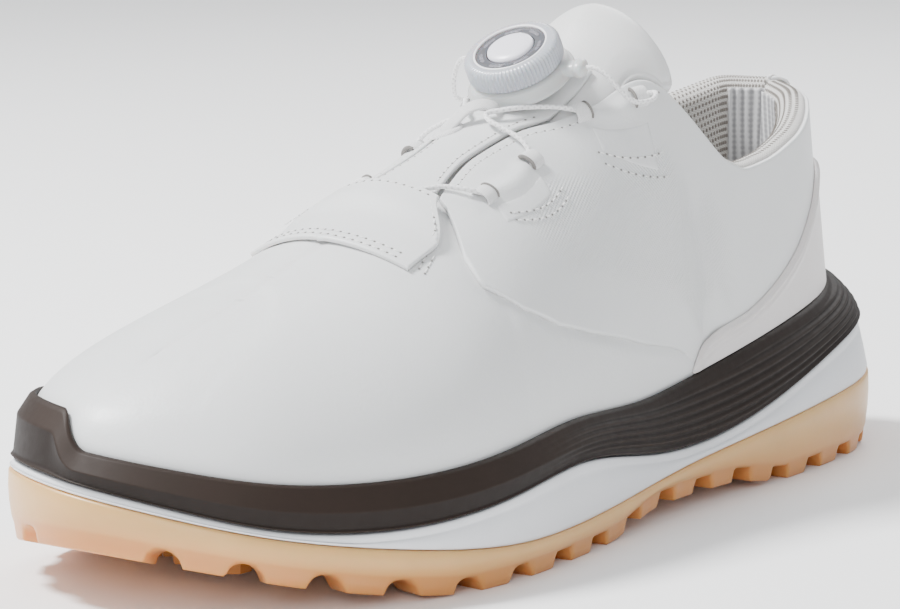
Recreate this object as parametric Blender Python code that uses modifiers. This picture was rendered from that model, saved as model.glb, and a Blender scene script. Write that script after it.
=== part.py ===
"""Golf shoe, left foot, with a dial lace closure.

The toe points along -Y, the lateral side faces +X and the lugs stand on Z = 0.
Lengths in this file are millimetres; MM turns them into Blender's metres.
A place on the shoe's rim is given by u: 0 at the back of the heel, 1 at the toe along the
lateral side, and 2 at the heel again along the medial side.
"""
import math
from functools import lru_cache

import bmesh
import bpy
import numpy as np
from mathutils import Matrix, Vector

MM = 0.001
GAP = 0.4

# ---------------------------------------------------------------- driving dimensions
RIM_STEPS = 30

# The widest edge of the sole in plan, from the heel round the lateral side to the toe and back.
OUTLINE = [
    (0, 150), (17.7, 144), (30.1, 130), (37.2, 105), (40.9, 65), (42.7, 25), (47.9, -10),
    (52.9, -40), (55.2, -65), (51.8, -90), (42.5, -112), (30.1, -130), (13.3, -143),
    (-6.7, -150), (-32.1, -143), (-46.1, -130), (-54.1, -112), (-56.1, -90), (-52.6, -65),
    (-44.4, -40), (-35.4, -10), (-31.2, 25), (-34.6, 65), (-37.1, 105), (-31.8, 130), (-18.2, 144),
]
TOE_INDEX = 13

# Heights and insets of the sole's edges at stations round the rim.
RIM = [0, 0.12, 0.25, 0.38, 0.46, 0.58, 0.68, 0.77, 0.86, 0.93, 1.0, 1.08, 1.16, 1.3, 1.45, 1.6, 1.75, 1.88]
BAND_BOTTOM = [38, 34.8, 25, 17, 18, 23.3, 20.4, 17.8, 19.7, 24.8, 29.3, 30.4, 27.2, 19, 21.5, 17, 25, 34.8]
BAND_TOP = [50, 45.5, 40.2, 33.8, 31.5, 33.3, 30.8, 28.8, 29.9, 33.3, 36.5, 37.5, 36, 31, 33, 33.8,
            40.2, 45.5]
GUM_TOP = [22, 20, 16.8, 13, 10.8, 8.6, 9.2, 12.6, 17.5, 22.5, 26.8, 27.9, 25, 16, 9.2, 12.5, 16.8, 20]
BAND_TOP_INSET = [13, 10.5, 6, 4.2, 3.6, 3.2, 3, 3, 3, 3, 3, 3, 3, 3, 3.2, 4.2, 6, 10.5]
BAND_BOTTOM_INSET = [3.6, 3.2, 2.2, 1.6, 1.4, 1.2, 1.2, 1.2, 1.2, 1.2, 1.2, 1.2, 1.2, 1.2, 1.4, 1.6, 2.2, 3.2]

TOE_BUMPER_RISE = 6.5
TOE_BUMPER_START = 1.0
TOE_BUMPER_END = 1.22
TOE_BUMPER_RAMP = 0.035

# Height of the lug faces over the ground, and of the foot bed, along the shoe (y, z).
LUG_FACE = [(-150, 14.5), (-135, 10), (-120, 6), (-100, 2.2), (-78, 0), (-20, 0), (12, 4), (45, 3.6), (78, 0),
            (126, 0), (139, 1.8), (150, 4.5)]
FOOT_BED = [(-150, 28), (-130, 25), (-100, 20.5), (-50, 19), (0, 21.5), (50, 26), (100, 29), (150, 30)]

LUG_HEIGHT = 4.2
PLATE_THICKNESS = 3.0
SHANK_TROUGH = 1.9
GUM_WALL = 2.6

# Upper: stations along one side, t from the back of the heel (0) to the toe (1).
# top: the end of the section on the ridge of the instep, or above the collar
# rise and bulge: the section's first handle, upward and outward; reach: its last handle
SECTION_T = [0, 0.1, 0.2, 0.3, 0.38, 0.46, 0.55, 0.65, 0.75, 0.85, 0.93, 1.0]
TOP_X = [0, 16, 26, 27, 2, 0.5, 0, -0.5, -2, -4, -6, -8]
TOP_Y = [132, 118, 92, 62, 39, 14, -13, -42, -70, -93, -107, -116]
TOP_Z = [112, 112, 112, 108, 128, 110, 98, 87.5, 76, 67.5, 62, 58]
RISE = [14, 15, 17, 22, 44, 42, 31, 27, 21, 17, 12, 9]
BULGE = [-4.5, -2, 0.5, 0, 1.5, 0.5, 0.5, 1, 1, 1.2, 1.2, 1.2]
REACH_X = [0, 0, 2, 6, 28, 25, 24, 24.5, 24, 19, 13, 0]
REACH_Y = [-2, 1.5, 2, 2, 4, -1.8, -3, -4.8, -7, -10.8, -15.2, -20]
MEDIAL_ARCH_BULGE = 3.6
MEDIAL_REACH_CUT = 0.22
REACH_Z = [-24, -20, -20, -20, -2, -1.1, -1.1, -1.9, -2.5, -3.6, -5.6, -8.5]

# Lines that bound the upper's panels.
COLLAR_LINE = [(41, 101.5), (50, 91.5), (58, 85.5), (66, 83.3), (78, 84.2), (95, 88), (110, 92.5),
               (124, 97), (134, 98.5)]
COLLAR_MEDIAL_RISE = 3.0
COLLAR_CORNER_Y = 41.0
EYESTAY_LINE = [(-47, 16), (-38, 12.6), (-23, 9.6), (-8, 11), (3, 15), (14, 18), (27, 21), (36, 24.5),
                (41, 28.5)]
SEAM_LINE = [(-57, 66), (-50, 61), (-33, 55.5), (3, 46.5), (33, 40), (44, 30), (60, 10)]
HEEL_CUP_LINE = [(34, 34), (40, 41), (66, 47), (92, 58), (105, 68), (115, 76), (125, 79.5), (140, 80)]
THROAT_Y = -46.0

SKIN = 1.4
BACKING = 1.5
LINING = 1.0
BACKING_DEPTH = 1.9
LINING_DEPTH = 3.9
COLLAR_PAD = 5.0
STIFFENER_TOP = 62.0

# Dial: seated on the instep, its axis leaning forward.
DIAL_SEAT = (0.9, 8.6, 109.2)
DIAL_TILT = math.radians(31.0)
FLANGE_RADIUS = 14.0
BOWL_RADIUS = 12.9
NECK_RADIUS = 10.8
KNOB_RADIUS = 12.4
BOSS_HEIGHT = 2.1
BOSS_ANGLE = math.radians(12.0)
BOSS_START = 11.6
BOSS_REACH = 17.6
KNOB_GRIPS = 36
LACE_RADIUS = 0.6

# Lace guides: plan points (x, y) and height over the upper; the medial ones are their mirror images.
UPPER_GUIDE = [(24.2, 26.4, 2.5), (23.7, 23.4, 2.5), (22.6, 19.0, 2.5), (20.6, 14.0, 2.5), (17.6, 9.6, 2.5)]
LOWER_GUIDE = [(18.4, -11.0, 2.5), (21.8, -17.0, 2.5), (23.2, -24.0, 2.5), (22.2, -30.0, 2.5),
               (18.8, -34.2, 2.5)]
HOOK_GUIDE = [(5.4, -6.4, 2.5), (3.2, -7.0, 2.5), (2.0, -9.4, 2.5), (3.2, -11.8, 2.5), (5.4, -12.4, 2.5)]
LACE_TURN = [(23.6, 21.0, 8.6), (24.9, 27.6, 8.0), (25.2, 30.0, 5.0)]
GUIDE_BORE = 1.25
GUIDE_RADIUS = 1.95
MIRROR_X = -0.5
MEDIAL_NARROWING = 0.84
THROAT_CROSSING = [(12.6, -38.2, 1.5), (7.5, -43.5, 1.3)]

COLLECTION = bpy.data.collections.new("golf_shoe")
CUTTERS = bpy.data.collections.new("golf_shoe_cutters")


# ---------------------------------------------------------------- numeric helpers
def periodic_spline(knots, values, period):
    """Return a smooth closed cubic through the values at the knots."""
    knots = np.asarray(knots, float)
    values = np.asarray(values, float)
    count = len(knots)
    gaps = np.diff(np.append(knots, knots[0] + period))
    system = np.zeros((count, count))
    right = np.zeros_like(values)
    for k in range(count):
        before = (k - 1) % count
        after = (k + 1) % count
        system[k, before] += gaps[before]
        system[k, k] += 2.0 * (gaps[before] + gaps[k])
        system[k, after] += gaps[k]
        right[k] = 6.0 * ((values[after] - values[k]) / gaps[k] - (values[k] - values[before]) / gaps[before])
    bend = np.linalg.solve(system, right)

    def evaluate(place):
        place = (place - knots[0]) % period + knots[0]
        k = int(np.clip(np.searchsorted(knots, place, side="right") - 1, 0, count - 1))
        after = (k + 1) % count
        gap = gaps[k]
        a = (knots[k] + gap - place) / gap
        b = 1.0 - a
        return (a * values[k] + b * values[after]
                + ((a ** 3 - a) * bend[k] + (b ** 3 - b) * bend[after]) * gap * gap / 6.0)

    return evaluate


def smooth_curve(knots, values):
    """Return a monotone cubic (no overshoot) through the values at the knots."""
    knots = np.asarray(knots, float)
    values = np.asarray(values, float)
    step = np.diff(knots)
    slope = np.diff(values) / step
    tangent = np.zeros_like(values)
    tangent[0] = slope[0]
    tangent[-1] = slope[-1]
    for k in range(1, len(knots) - 1):
        if slope[k - 1] * slope[k] > 0:
            first = 2 * step[k] + step[k - 1]
            second = step[k] + 2 * step[k - 1]
            tangent[k] = (first + second) / (first / slope[k - 1] + second / slope[k])

    def evaluate(place):
        place = min(max(place, knots[0]), knots[-1])
        k = int(np.clip(np.searchsorted(knots, place, side="right") - 1, 0, len(step) - 1))
        x = (place - knots[k]) / step[k]
        return ((1 + 2 * x) * (1 - x) ** 2 * values[k] + x * (1 - x) ** 2 * step[k] * tangent[k]
                + x * x * (3 - 2 * x) * values[k + 1] + x * x * (x - 1) * step[k] * tangent[k + 1])

    return evaluate


def through(points):
    """A monotone curve given as (place, value) pairs."""
    return smooth_curve([p[0] for p in points], [p[1] for p in points])


def ease(x):
    x = min(max(x, 0.0), 1.0)
    return x * x * (3.0 - 2.0 * x)


# ---------------------------------------------------------------- the rim
def measure_rim():
    """Return plan positions of the rim by u, with each side's length run evenly."""
    points = np.array(OUTLINE, float)
    chords = np.linalg.norm(np.roll(points, -1, axis=0) - points, axis=1)
    knots = np.concatenate([[0.0], np.cumsum(chords)[:-1]])
    loop = periodic_spline(knots, points, chords.sum())
    split = knots[TOE_INDEX]
    sides = []
    for start, end in ((0.0, split), (split, chords.sum())):
        samples = np.array([loop(p) for p in np.linspace(start, end, 600)])
        run = np.concatenate([[0.0], np.cumsum(np.linalg.norm(np.diff(samples, axis=0), axis=1))])
        sides.append((samples, run / run[-1]))
    return sides


RIM_SIDES = measure_rim()
BAND_BOTTOM_AT = periodic_spline(RIM, BAND_BOTTOM, 2.0)
BAND_TOP_AT = periodic_spline(RIM, BAND_TOP, 2.0)
GUM_TOP_AT = periodic_spline(RIM, GUM_TOP, 2.0)
BAND_TOP_INSET_AT = periodic_spline(RIM, BAND_TOP_INSET, 2.0)
BAND_BOTTOM_INSET_AT = periodic_spline(RIM, BAND_BOTTOM_INSET, 2.0)
LUG_FACE_AT = through(LUG_FACE)
FOOT_BED_AT = through(FOOT_BED)
COLLAR_AT = through(COLLAR_LINE)
EYESTAY_AT = through(EYESTAY_LINE)
SEAM_AT = through(SEAM_LINE)
HEEL_CUP_AT = through(HEEL_CUP_LINE)
SECTIONS = [smooth_curve(SECTION_T, row)
            for row in (TOP_X, TOP_Y, TOP_Z, RISE, BULGE, REACH_X, REACH_Y, REACH_Z)]


@lru_cache(maxsize=None)
def rim_point(u):
    """Plan position and inward direction on the rim."""
    u = u % 2.0
    samples, run = RIM_SIDES[0] if u <= 1.0 else RIM_SIDES[1]
    part = u if u <= 1.0 else u - 1.0
    here = np.array([np.interp(part, run, samples[:, k]) for k in (0, 1)])
    low = max(part - 0.006, 0.0)
    high = min(part + 0.006, 1.0)
    ahead = np.array([np.interp(high, run, samples[:, k]) for k in (0, 1)])
    behind = np.array([np.interp(low, run, samples[:, k]) for k in (0, 1)])
    along = (ahead - behind) / np.linalg.norm(ahead - behind)
    if u in (0.0, 1.0):
        along = np.array([1.0 if u == 0.0 else -1.0, 0.0])
    inward = np.array([along[1], -along[0]])
    return here, inward


def spine_point(u):
    """The middle line of the sole that the rings of a sole layer close onto."""
    here, _ = rim_point(u)
    across, _ = rim_point(2.0 - u)
    middle = (here + across) / 2.0
    return np.array([middle[0], middle[1] * 0.74])


def ring(inset, height, toward_spine=0.0, count=RIM_STEPS):
    """One closed ring of points round the shoe; inset and height may be numbers or functions."""
    points = []
    for k in range(2 * count):
        u = k / count
        here, inward = rim_point(u)
        edge = here + inward * (inset(u) if callable(inset) else inset)
        plan = edge * (1.0 - toward_spine) + spine_point(u) * toward_spine
        z = height(u, plan[1]) if callable(height) else height
        points.append((plan[0], plan[1], z))
    return points


# ---------------------------------------------------------------- mesh helpers
def material(name, colour, roughness, metallic=0.0, alpha=1.0):
    made = bpy.data.materials.new(name)
    made.use_nodes = True
    shader = made.node_tree.nodes["Principled BSDF"]
    shader.inputs["Base Color"].default_value = (*colour, 1.0)
    shader.inputs["Roughness"].default_value = roughness
    shader.inputs["Metallic"].default_value = metallic
    shader.inputs["Alpha"].default_value = alpha
    made.diffuse_color = (*colour, 1.0)
    return made


def new_object(name, mesh, surface):
    made = bpy.data.objects.new(name, mesh)
    mesh.materials.append(surface)
    COLLECTION.objects.link(made)
    return made


def mesh_from(name, points, faces):
    """Make a mesh from millimetre points, weld it and turn its faces outward."""
    mesh = bpy.data.meshes.new(name)
    mesh.from_pydata([tuple(c * MM for c in p) for p in points], [], faces)
    work = bmesh.new()
    work.from_mesh(mesh)
    bmesh.ops.remove_doubles(work, verts=work.verts, dist=2e-5)
    bmesh.ops.dissolve_degenerate(work, edges=work.edges, dist=1e-5)
    bmesh.ops.recalc_face_normals(work, faces=work.faces)
    work.to_mesh(mesh)
    work.free()
    mesh.shade_smooth()
    return mesh


def loft(name, rings, surface, closed_section=False):
    """Close a stack of rings into one body: over the spine, or round a closed section."""
    count = len(rings[0])
    points = [p for one in rings for p in one]
    faces = []
    bands = len(rings) if closed_section else len(rings) - 1
    for row in range(bands):
        after = (row + 1) % len(rings)
        for k in range(count):
            nxt = (k + 1) % count
            faces.append((row * count + k, row * count + nxt, after * count + nxt, after * count + k))
    return new_object(name, mesh_from(name, points, faces), surface)


def thicken(target, depth):
    """Give an open outward-facing surface its thickness, growing outward."""
    shell = target.modifiers.new("thickness", "SOLIDIFY")
    shell.thickness = depth * MM
    shell.offset = 1.0
    return target


def grid_surface(name, grid, surface, depth, outward):
    """Make an open surface from rows of points, face it outward and thicken it."""
    rows = len(grid)
    columns = len(grid[0])
    points = [p for row in grid for p in row]
    faces = []
    for r in range(rows - 1):
        for c in range(columns - 1):
            here = r * columns + c
            faces.append((here, here + 1, here + columns + 1, here + columns))
    mesh = mesh_from(name, points, faces)
    middle = mesh.polygons[len(mesh.polygons) // 2]
    if Vector(middle.normal).dot(Vector(outward(middle.center / MM))) < 0:
        mesh.flip_normals()
    return thicken(new_object(name, mesh, surface), depth)


def turned(name, profile, surface, parent, steps=28):
    """Turn a profile (radius, height), listed down its outer side, about local Z."""
    mesh = bpy.data.meshes.new(name)
    count = len(profile)
    links = [(k, k + 1) for k in range(count - 1)]
    if profile[0][0] > 0.0:
        links.append((count - 1, 0))
    mesh.from_pydata([(r * MM, 0.0, z * MM) for r, z in profile], links, [])
    made = new_object(name, mesh, surface)
    screw = made.modifiers.new("turn", "SCREW")
    screw.steps = steps
    screw.render_steps = steps
    screw.use_merge_vertices = True
    screw.merge_threshold = 0.00001
    screw.use_smooth_shade = True
    made.parent = parent
    return made


# ---------------------------------------------------------------- the upper's surface
@lru_cache(maxsize=None)
def section(u):
    """Return the five points that carry the upper's section at u: feather, wall, handles, top."""
    u = u % 2.0
    side = 1.0 if u <= 1.0 else -1.0
    t = u if u <= 1.0 else 2.0 - u
    top_x, top_y, top_z, rise, bulge, reach_x, reach_y, reach_z = [curve(t) for curve in SECTIONS]
    if side < 0:
        reach_x *= 1.0 - MEDIAL_REACH_CUT * ease((t - 0.5) / 0.1)
        bulge += MEDIAL_ARCH_BULGE * ease((t - 0.22) / 0.12) * (1.0 - ease((t - 0.55) / 0.15))
    here, inward = rim_point(u)
    band_inset = BAND_TOP_INSET_AT(u)
    wall = here + inward * (band_inset + 1.8)
    feather = here + inward * (band_inset + 3.4)
    wall_z = BAND_TOP_AT(u) - 1.5
    ridge_share = ease((t - 0.30) / 0.08)
    shared_x = TOP_X[4] * ridge_share
    x_top = top_x if t >= 0.38 else side * (top_x - shared_x) + shared_x
    top = np.array([x_top, top_y, top_z])
    lift = COLLAR_MEDIAL_RISE if side < 0 and t < 0.38 else 0.0
    top = top + np.array([0.0, 0.0, lift * (1.0 - ridge_share)])
    start = np.array([wall[0], wall[1], wall_z])
    first = start + np.array([-inward[0] * bulge, -inward[1] * bulge, rise])
    last = top + np.array([side * reach_x, reach_y, reach_z])
    foot = np.array([feather[0], feather[1], FOOT_BED_AT(feather[1]) + 0.8])
    return foot, start, first, last, top


def bare_point(u, h):
    """A point of the upper's outer face: h runs -1 to 0 behind the band and 0 to 1 above it."""
    foot, start, first, last, top = section(u)
    if h < 0:
        bend = np.array([start[0], start[1], (foot[2] + start[2]) / 2.0])
        a = -h
        return start * (1 - a) ** 2 + bend * 2 * a * (1 - a) + foot * a * a
    a = 1.0 - h
    return start * a ** 3 + first * 3 * a * a * h + last * 3 * a * h * h + top * h ** 3


def skin_point(u, h, offset=0.0):
    """A point over the outer face by an offset along its normal."""
    here = bare_point(u, h)
    if offset == 0.0:
        return here
    step = 0.004
    t = u % 2.0 if u % 2.0 <= 1.0 else 2.0 - u % 2.0
    if h > 0.999 and t > 0.385:
        run = bare_point(min(t + 0.01, 1.0), 1.0) - bare_point(t - 0.01, 1.0)
        up = np.array([0.0, -run[2], run[1]])
        return here + up / np.linalg.norm(up) * (offset if up[2] > 0 else -offset)
    along = bare_point(u + step, h) - bare_point(u - step, h)
    low = h - step if h > step else h
    high = h + step if h < 1.0 - step else h
    climb = bare_point(u, high) - bare_point(u, low)
    normal = np.cross(along, climb)
    normal = normal / np.linalg.norm(normal)
    if np.dot(normal, here - np.array([0.0, here[1] * 0.7, 30.0])) < 0:
        normal = -normal
    return here + normal * offset


def last_inside(u, test, low=-1.0, high=1.0):
    """The height parameter where a test that holds at the bottom of a section stops holding."""
    if test(bare_point(u, high)):
        return high
    if not test(bare_point(u, low)):
        return low
    for _ in range(26):
        middle = (low + high) / 2.0
        if test(bare_point(u, middle)):
            low = middle
        else:
            high = middle
    return low


def height_param(u, z):
    return last_inside(u, lambda p: p[2] < z)


def ridge_x(y):
    return 0.5 if y > 0 else 0.5 + y * 0.02


def collar_height(u, y):
    lift = COLLAR_MEDIAL_RISE if (u % 2.0) > 1.0 else 0.0
    return COLLAR_AT(y) + lift * ease((y - 41.0) / 20.0) * (1.0 - ease((y - 118.0) / 16.0))


def quarter_top(u, margin=0.0):
    """Upper edge of a quarter: the collar at the rear, the eyestay edge at the front."""
    def inside(p):
        if p[1] > COLLAR_CORNER_Y:
            return p[2] < collar_height(u, p[1]) - margin
        return abs(p[0] - ridge_x(p[1])) > EYESTAY_AT(p[1]) + margin
    return last_inside(u, inside)


def vamp_edge(u, margin):
    """The vamp runs to the ridge in front of the throat, and up to the side seam behind it."""
    return last_inside(u, lambda p: p[1] < THROAT_Y + margin or p[2] < SEAM_AT(p[1]) + margin)


@lru_cache(maxsize=None)
def locate(x, y):
    """Find u and h of the upper's point over a plan position near the instep, by Newton steps."""
    t = 0.5 - y / 190.0 if y > -40 else 0.71 - (y + 40.0) / 300.0
    u = t if x > MIRROR_X else 2.0 - t
    h = 0.8
    for _ in range(14):
        here = bare_point(u, h)
        miss = np.array([x, y]) - here[:2]
        by_u = (bare_point(u + 0.002, h) - here)[:2] / 0.002
        by_h = (bare_point(u, h - 0.002) - here)[:2] / -0.002
        step = np.linalg.solve(np.array([by_u, by_h]).T, miss)
        u += float(np.clip(step[0], -0.05, 0.05))
        h = min(max(h + float(np.clip(step[1], -0.15, 0.15)), 0.05), 0.9995)
    return u, h


def over(x, y, lift):
    """A point above the upper's outer face at a plan position."""
    u, h = locate(x, y)
    return skin_point(u, h, lift)


def plan_patch(name, grid, offset, surface, depth):
    """A panel whose outline is drawn in plan over the instep, from rows of (x, y)."""
    rows = [[over(x, y, offset(y) if callable(offset) else offset) for x, y in row] for row in grid]
    return grid_surface(name, rows, surface, depth, lambda p: (0, 0, 1))


def rim_span(first, last):
    """u values on the sole's own divisions, so that stacked layers share their facets."""
    return [k / RIM_STEPS for k in range(first, last + 1)]


def span(start, end, steps):
    return [start + (end - start) * k / steps for k in range(steps + 1)]


def side_patch(name, u_values, low, high, rows, offset, surface, depth):
    """A panel on the upper between two lines of height, offset from the outer face."""
    grid = []
    for u in u_values:
        bottom = low(u)
        top = high(u)
        grid.append([skin_point(u, bottom + (top - bottom) * k / rows, offset(u, bottom + (top - bottom) * k / rows)
                                if callable(offset) else offset) for k in range(rows + 1)])
    return grid_surface(name, grid, surface, depth, lambda p: p - Vector((0.0, p[1] * 0.7, 30.0)))


def ridge_patch(name, t_values, lateral_low, medial_low, columns, offset, surface, depth):
    """A panel that crosses the ridge of the instep, from one side's line to the other's."""
    grid = []
    for t in t_values:
        row = []
        for k in range(-columns, columns + 1):
            u = t if k >= 0 else 2.0 - t
            low = lateral_low(t) if k >= 0 else medial_low(2.0 - t)
            h = 1.0 - abs(k) / columns * (1.0 - low)
            out = offset(u, h) if callable(offset) else offset
            row.append(skin_point(u, h, out))
        grid.append(row)
    return grid_surface(name, grid, surface, depth, lambda p: p - Vector((0.0, p[1] * 0.7, 30.0)))


# ---------------------------------------------------------------- sole
def plate_floor(u, y):
    return LUG_FACE_AT(y) + LUG_HEIGHT


def plate_middle(u, y):
    return plate_floor(u, y) + PLATE_THICKNESS


def plate_edge(u, y):
    return min(plate_middle(u, y), GUM_TOP_AT(u) - 0.2)


def inner_wall(u):
    """Inset of the midsole wall's inner face, just outside the upper."""
    return BAND_TOP_INSET_AT(u) + 1.2


def add_lugs(outsole):
    """Draw the tread blocks down out of the plate's underside."""
    work = bmesh.new()
    work.from_mesh(outsole.data)
    work.faces.ensure_lookup_table()
    count = 2 * RIM_STEPS
    blocks = []
    for band, length, gap in ((7, 2, 1), (9, 2, 1), (10, 1, 2)):
        k = 0
        while k + length <= count:
            blocks.append([band * count + k + j for j in range(length)])
            k += length + gap
    faces = {face.index: face for face in work.faces}
    chosen = [[faces[i] for i in block if i in faces] for block in blocks]
    for block in chosen:
        raised = bmesh.ops.extrude_face_region(work, geom=block)
        corners = [v for v in raised["geom"] if isinstance(v, bmesh.types.BMVert)]
        bmesh.ops.delete(work, geom=block, context="FACES")
        centre = sum((v.co for v in corners), Vector()) / len(corners)
        for v in corners:
            v.co.z = LUG_FACE_AT(v.co.y / MM) * MM
            v.co.x += (centre.x - v.co.x) * 0.06
            v.co.y += (centre.y - v.co.y) * 0.06
    bmesh.ops.recalc_face_normals(work, faces=work.faces)
    work.to_mesh(outsole.data)
    work.free()


def build_sole(rubber, foam, band):
    gum = GUM_TOP_AT
    outsole = loft("outsole", [
        ring(6, plate_middle, 1.0),
        ring(6, plate_middle, 0.5),
        ring(GUM_WALL + 1.2, plate_edge),
        ring(GUM_WALL, lambda u, y: max(gum(u), plate_edge(u, y) + 0.1)),
        ring(0.4, lambda u, y: gum(u)),
        ring(0.0, lambda u, y: gum(u) - 1.4),
        ring(1.2, lambda u, y: plate_floor(u, y) + 0.8),
        ring(2.6, plate_floor),
        ring(13, plate_floor),
        ring(16, plate_floor),
        ring(16, plate_floor, 0.42),
        ring(16, plate_floor, 0.72),
        ring(16, plate_floor, 1.0),
    ], rubber)
    add_lugs(outsole)
    outsole.data.shade_flat()

    def foot_bed(u, y):
        return FOOT_BED_AT(y)

    def trough(u, y):
        return FOOT_BED_AT(y) - SHANK_TROUGH

    def shelf(u, y):
        return BAND_BOTTOM_AT(u) - GAP

    loft("midsole", [
        ring(10, trough, 1.0),
        ring(10, trough, 0.45),
        ring(10, foot_bed, 0.36),
        ring(lambda u: inner_wall(u) + 1.3, foot_bed),
        ring(inner_wall, shelf),
        ring(lambda u: BAND_BOTTOM_INSET_AT(u) + 0.5, shelf),
        ring(BAND_BOTTOM_INSET_AT, lambda u, y: shelf(u, y) - 0.5),
        ring(lambda u: BAND_BOTTOM_INSET_AT(u) * 0.35, lambda u, y: shelf(u, y) * 0.45 + gum(u) * 0.55),
        ring(0.3, lambda u, y: gum(u) + 1.1),
        ring(0.6, lambda u, y: gum(u) + GAP),
        ring(GUM_WALL + 1.0, lambda u, y: max(gum(u), plate_edge(u, y) + 0.1) + GAP),
        ring(GUM_WALL + 2.8, lambda u, y: plate_edge(u, y) + 0.9),
        ring(6.5, lambda u, y: plate_middle(u, y) + 0.9, 0.5),
        ring(6.5, lambda u, y: plate_middle(u, y) + 0.9, 1.0),
    ], foam)
    build_band(band)


def bumper_rise(u):
    up = ease((u - TOE_BUMPER_START) / TOE_BUMPER_RAMP)
    down = ease((TOE_BUMPER_END - u) / TOE_BUMPER_RAMP)
    return TOE_BUMPER_RISE * min(up, down)


def build_band(surface):
    """The dark band: a ring that stands on the midsole and hugs the upper."""
    names = ("foot_out", "low", "mid", "high", "lip_out", "lip_in", "wall", "foot_in")
    rings = {name: [] for name in names}
    for k in range(2 * RIM_STEPS):
        u = k / RIM_STEPS
        here, inward = rim_point(u)
        bottom = BAND_BOTTOM_AT(u)
        top = BAND_TOP_AT(u) + bumper_rise(u)
        h_top = height_param(u, top)
        h_middle = height_param(u, max((top + bottom) / 2.0, FOOT_BED_AT(here[1]) + 4.0))
        lip_in = skin_point(u, h_top, 0.9)
        lip_out = skin_point(u, h_top, 2.0)
        middle_in = skin_point(u, h_middle, 0.6)
        foot = here + inward * (BAND_BOTTOM_INSET_AT(u) - 0.2)
        foot_out = np.array([foot[0], foot[1], bottom])
        heel_in = here + inward * (BAND_TOP_INSET_AT(u) + 0.6)
        foot_in = np.array([heel_in[0], heel_in[1], bottom])
        rings["foot_out"].append(foot_out)
        rings["low"].append(foot_out + np.array([0, 0, 0.12 * (top - bottom)]))
        bow = np.array([-inward[0], -inward[1], 0.0])
        rings["mid"].append(foot_out * 0.62 + lip_out * 0.38 + bow * 0.9)
        rings["high"].append(foot_out * 0.25 + lip_out * 0.75 + bow * 0.8)
        rings["lip_out"].append(lip_out)
        rings["lip_in"].append(lip_in)
        rings["wall"].append(middle_in)
        rings["foot_in"].append(foot_in)
    loft("sole_band", [rings[name] for name in names], surface, closed_section=True)


def flat_layer(name, inset, base, depth, surface):
    """A sheet that lies over the foot bed, following its slope."""
    def edge(u):
        return BAND_TOP_INSET_AT(u) + inset

    def bottom(u, y):
        return FOOT_BED_AT(y) + base

    def top(u, y):
        return FOOT_BED_AT(y) + base + depth

    count = RIM_STEPS // 2 + 3
    loft(name, [ring(edge, top, 1.0, count), ring(edge, top, 0.0, count),
                ring(edge, bottom, 0.0, count), ring(edge, bottom, 1.0, count)], surface)


def build_shank(surface):
    """The stiffening plate under the arch, lying in the midsole's trough."""
    length = 88.0
    grid = []
    for k in range(13):
        y = 58.0 - length * k / 12
        half = 7.0 + 2.0 * math.cos((k / 12 - 0.5) * math.pi * 2.0)
        grid.append([np.array([2.5 + half * (j / 2 - 1.0), y, FOOT_BED_AT(y) - SHANK_TROUGH + GAP]) for j in range(5)])
    grid_surface("shank", grid, surface, 1.2, lambda p: (0, 0, 1))


# ---------------------------------------------------------------- upper
def lining_offset(u, h):
    """The lining lies deeper where the collar is padded."""
    u = u % 2.0
    t = u if u <= 1.0 else 2.0 - u
    edge = quarter_top(u)
    near_edge = ease((h - edge + 0.55) / 0.35) * (1.0 - ease((t - 0.34) / 0.06))
    return -(LINING_DEPTH + COLLAR_PAD * near_edge) - LINING


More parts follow.
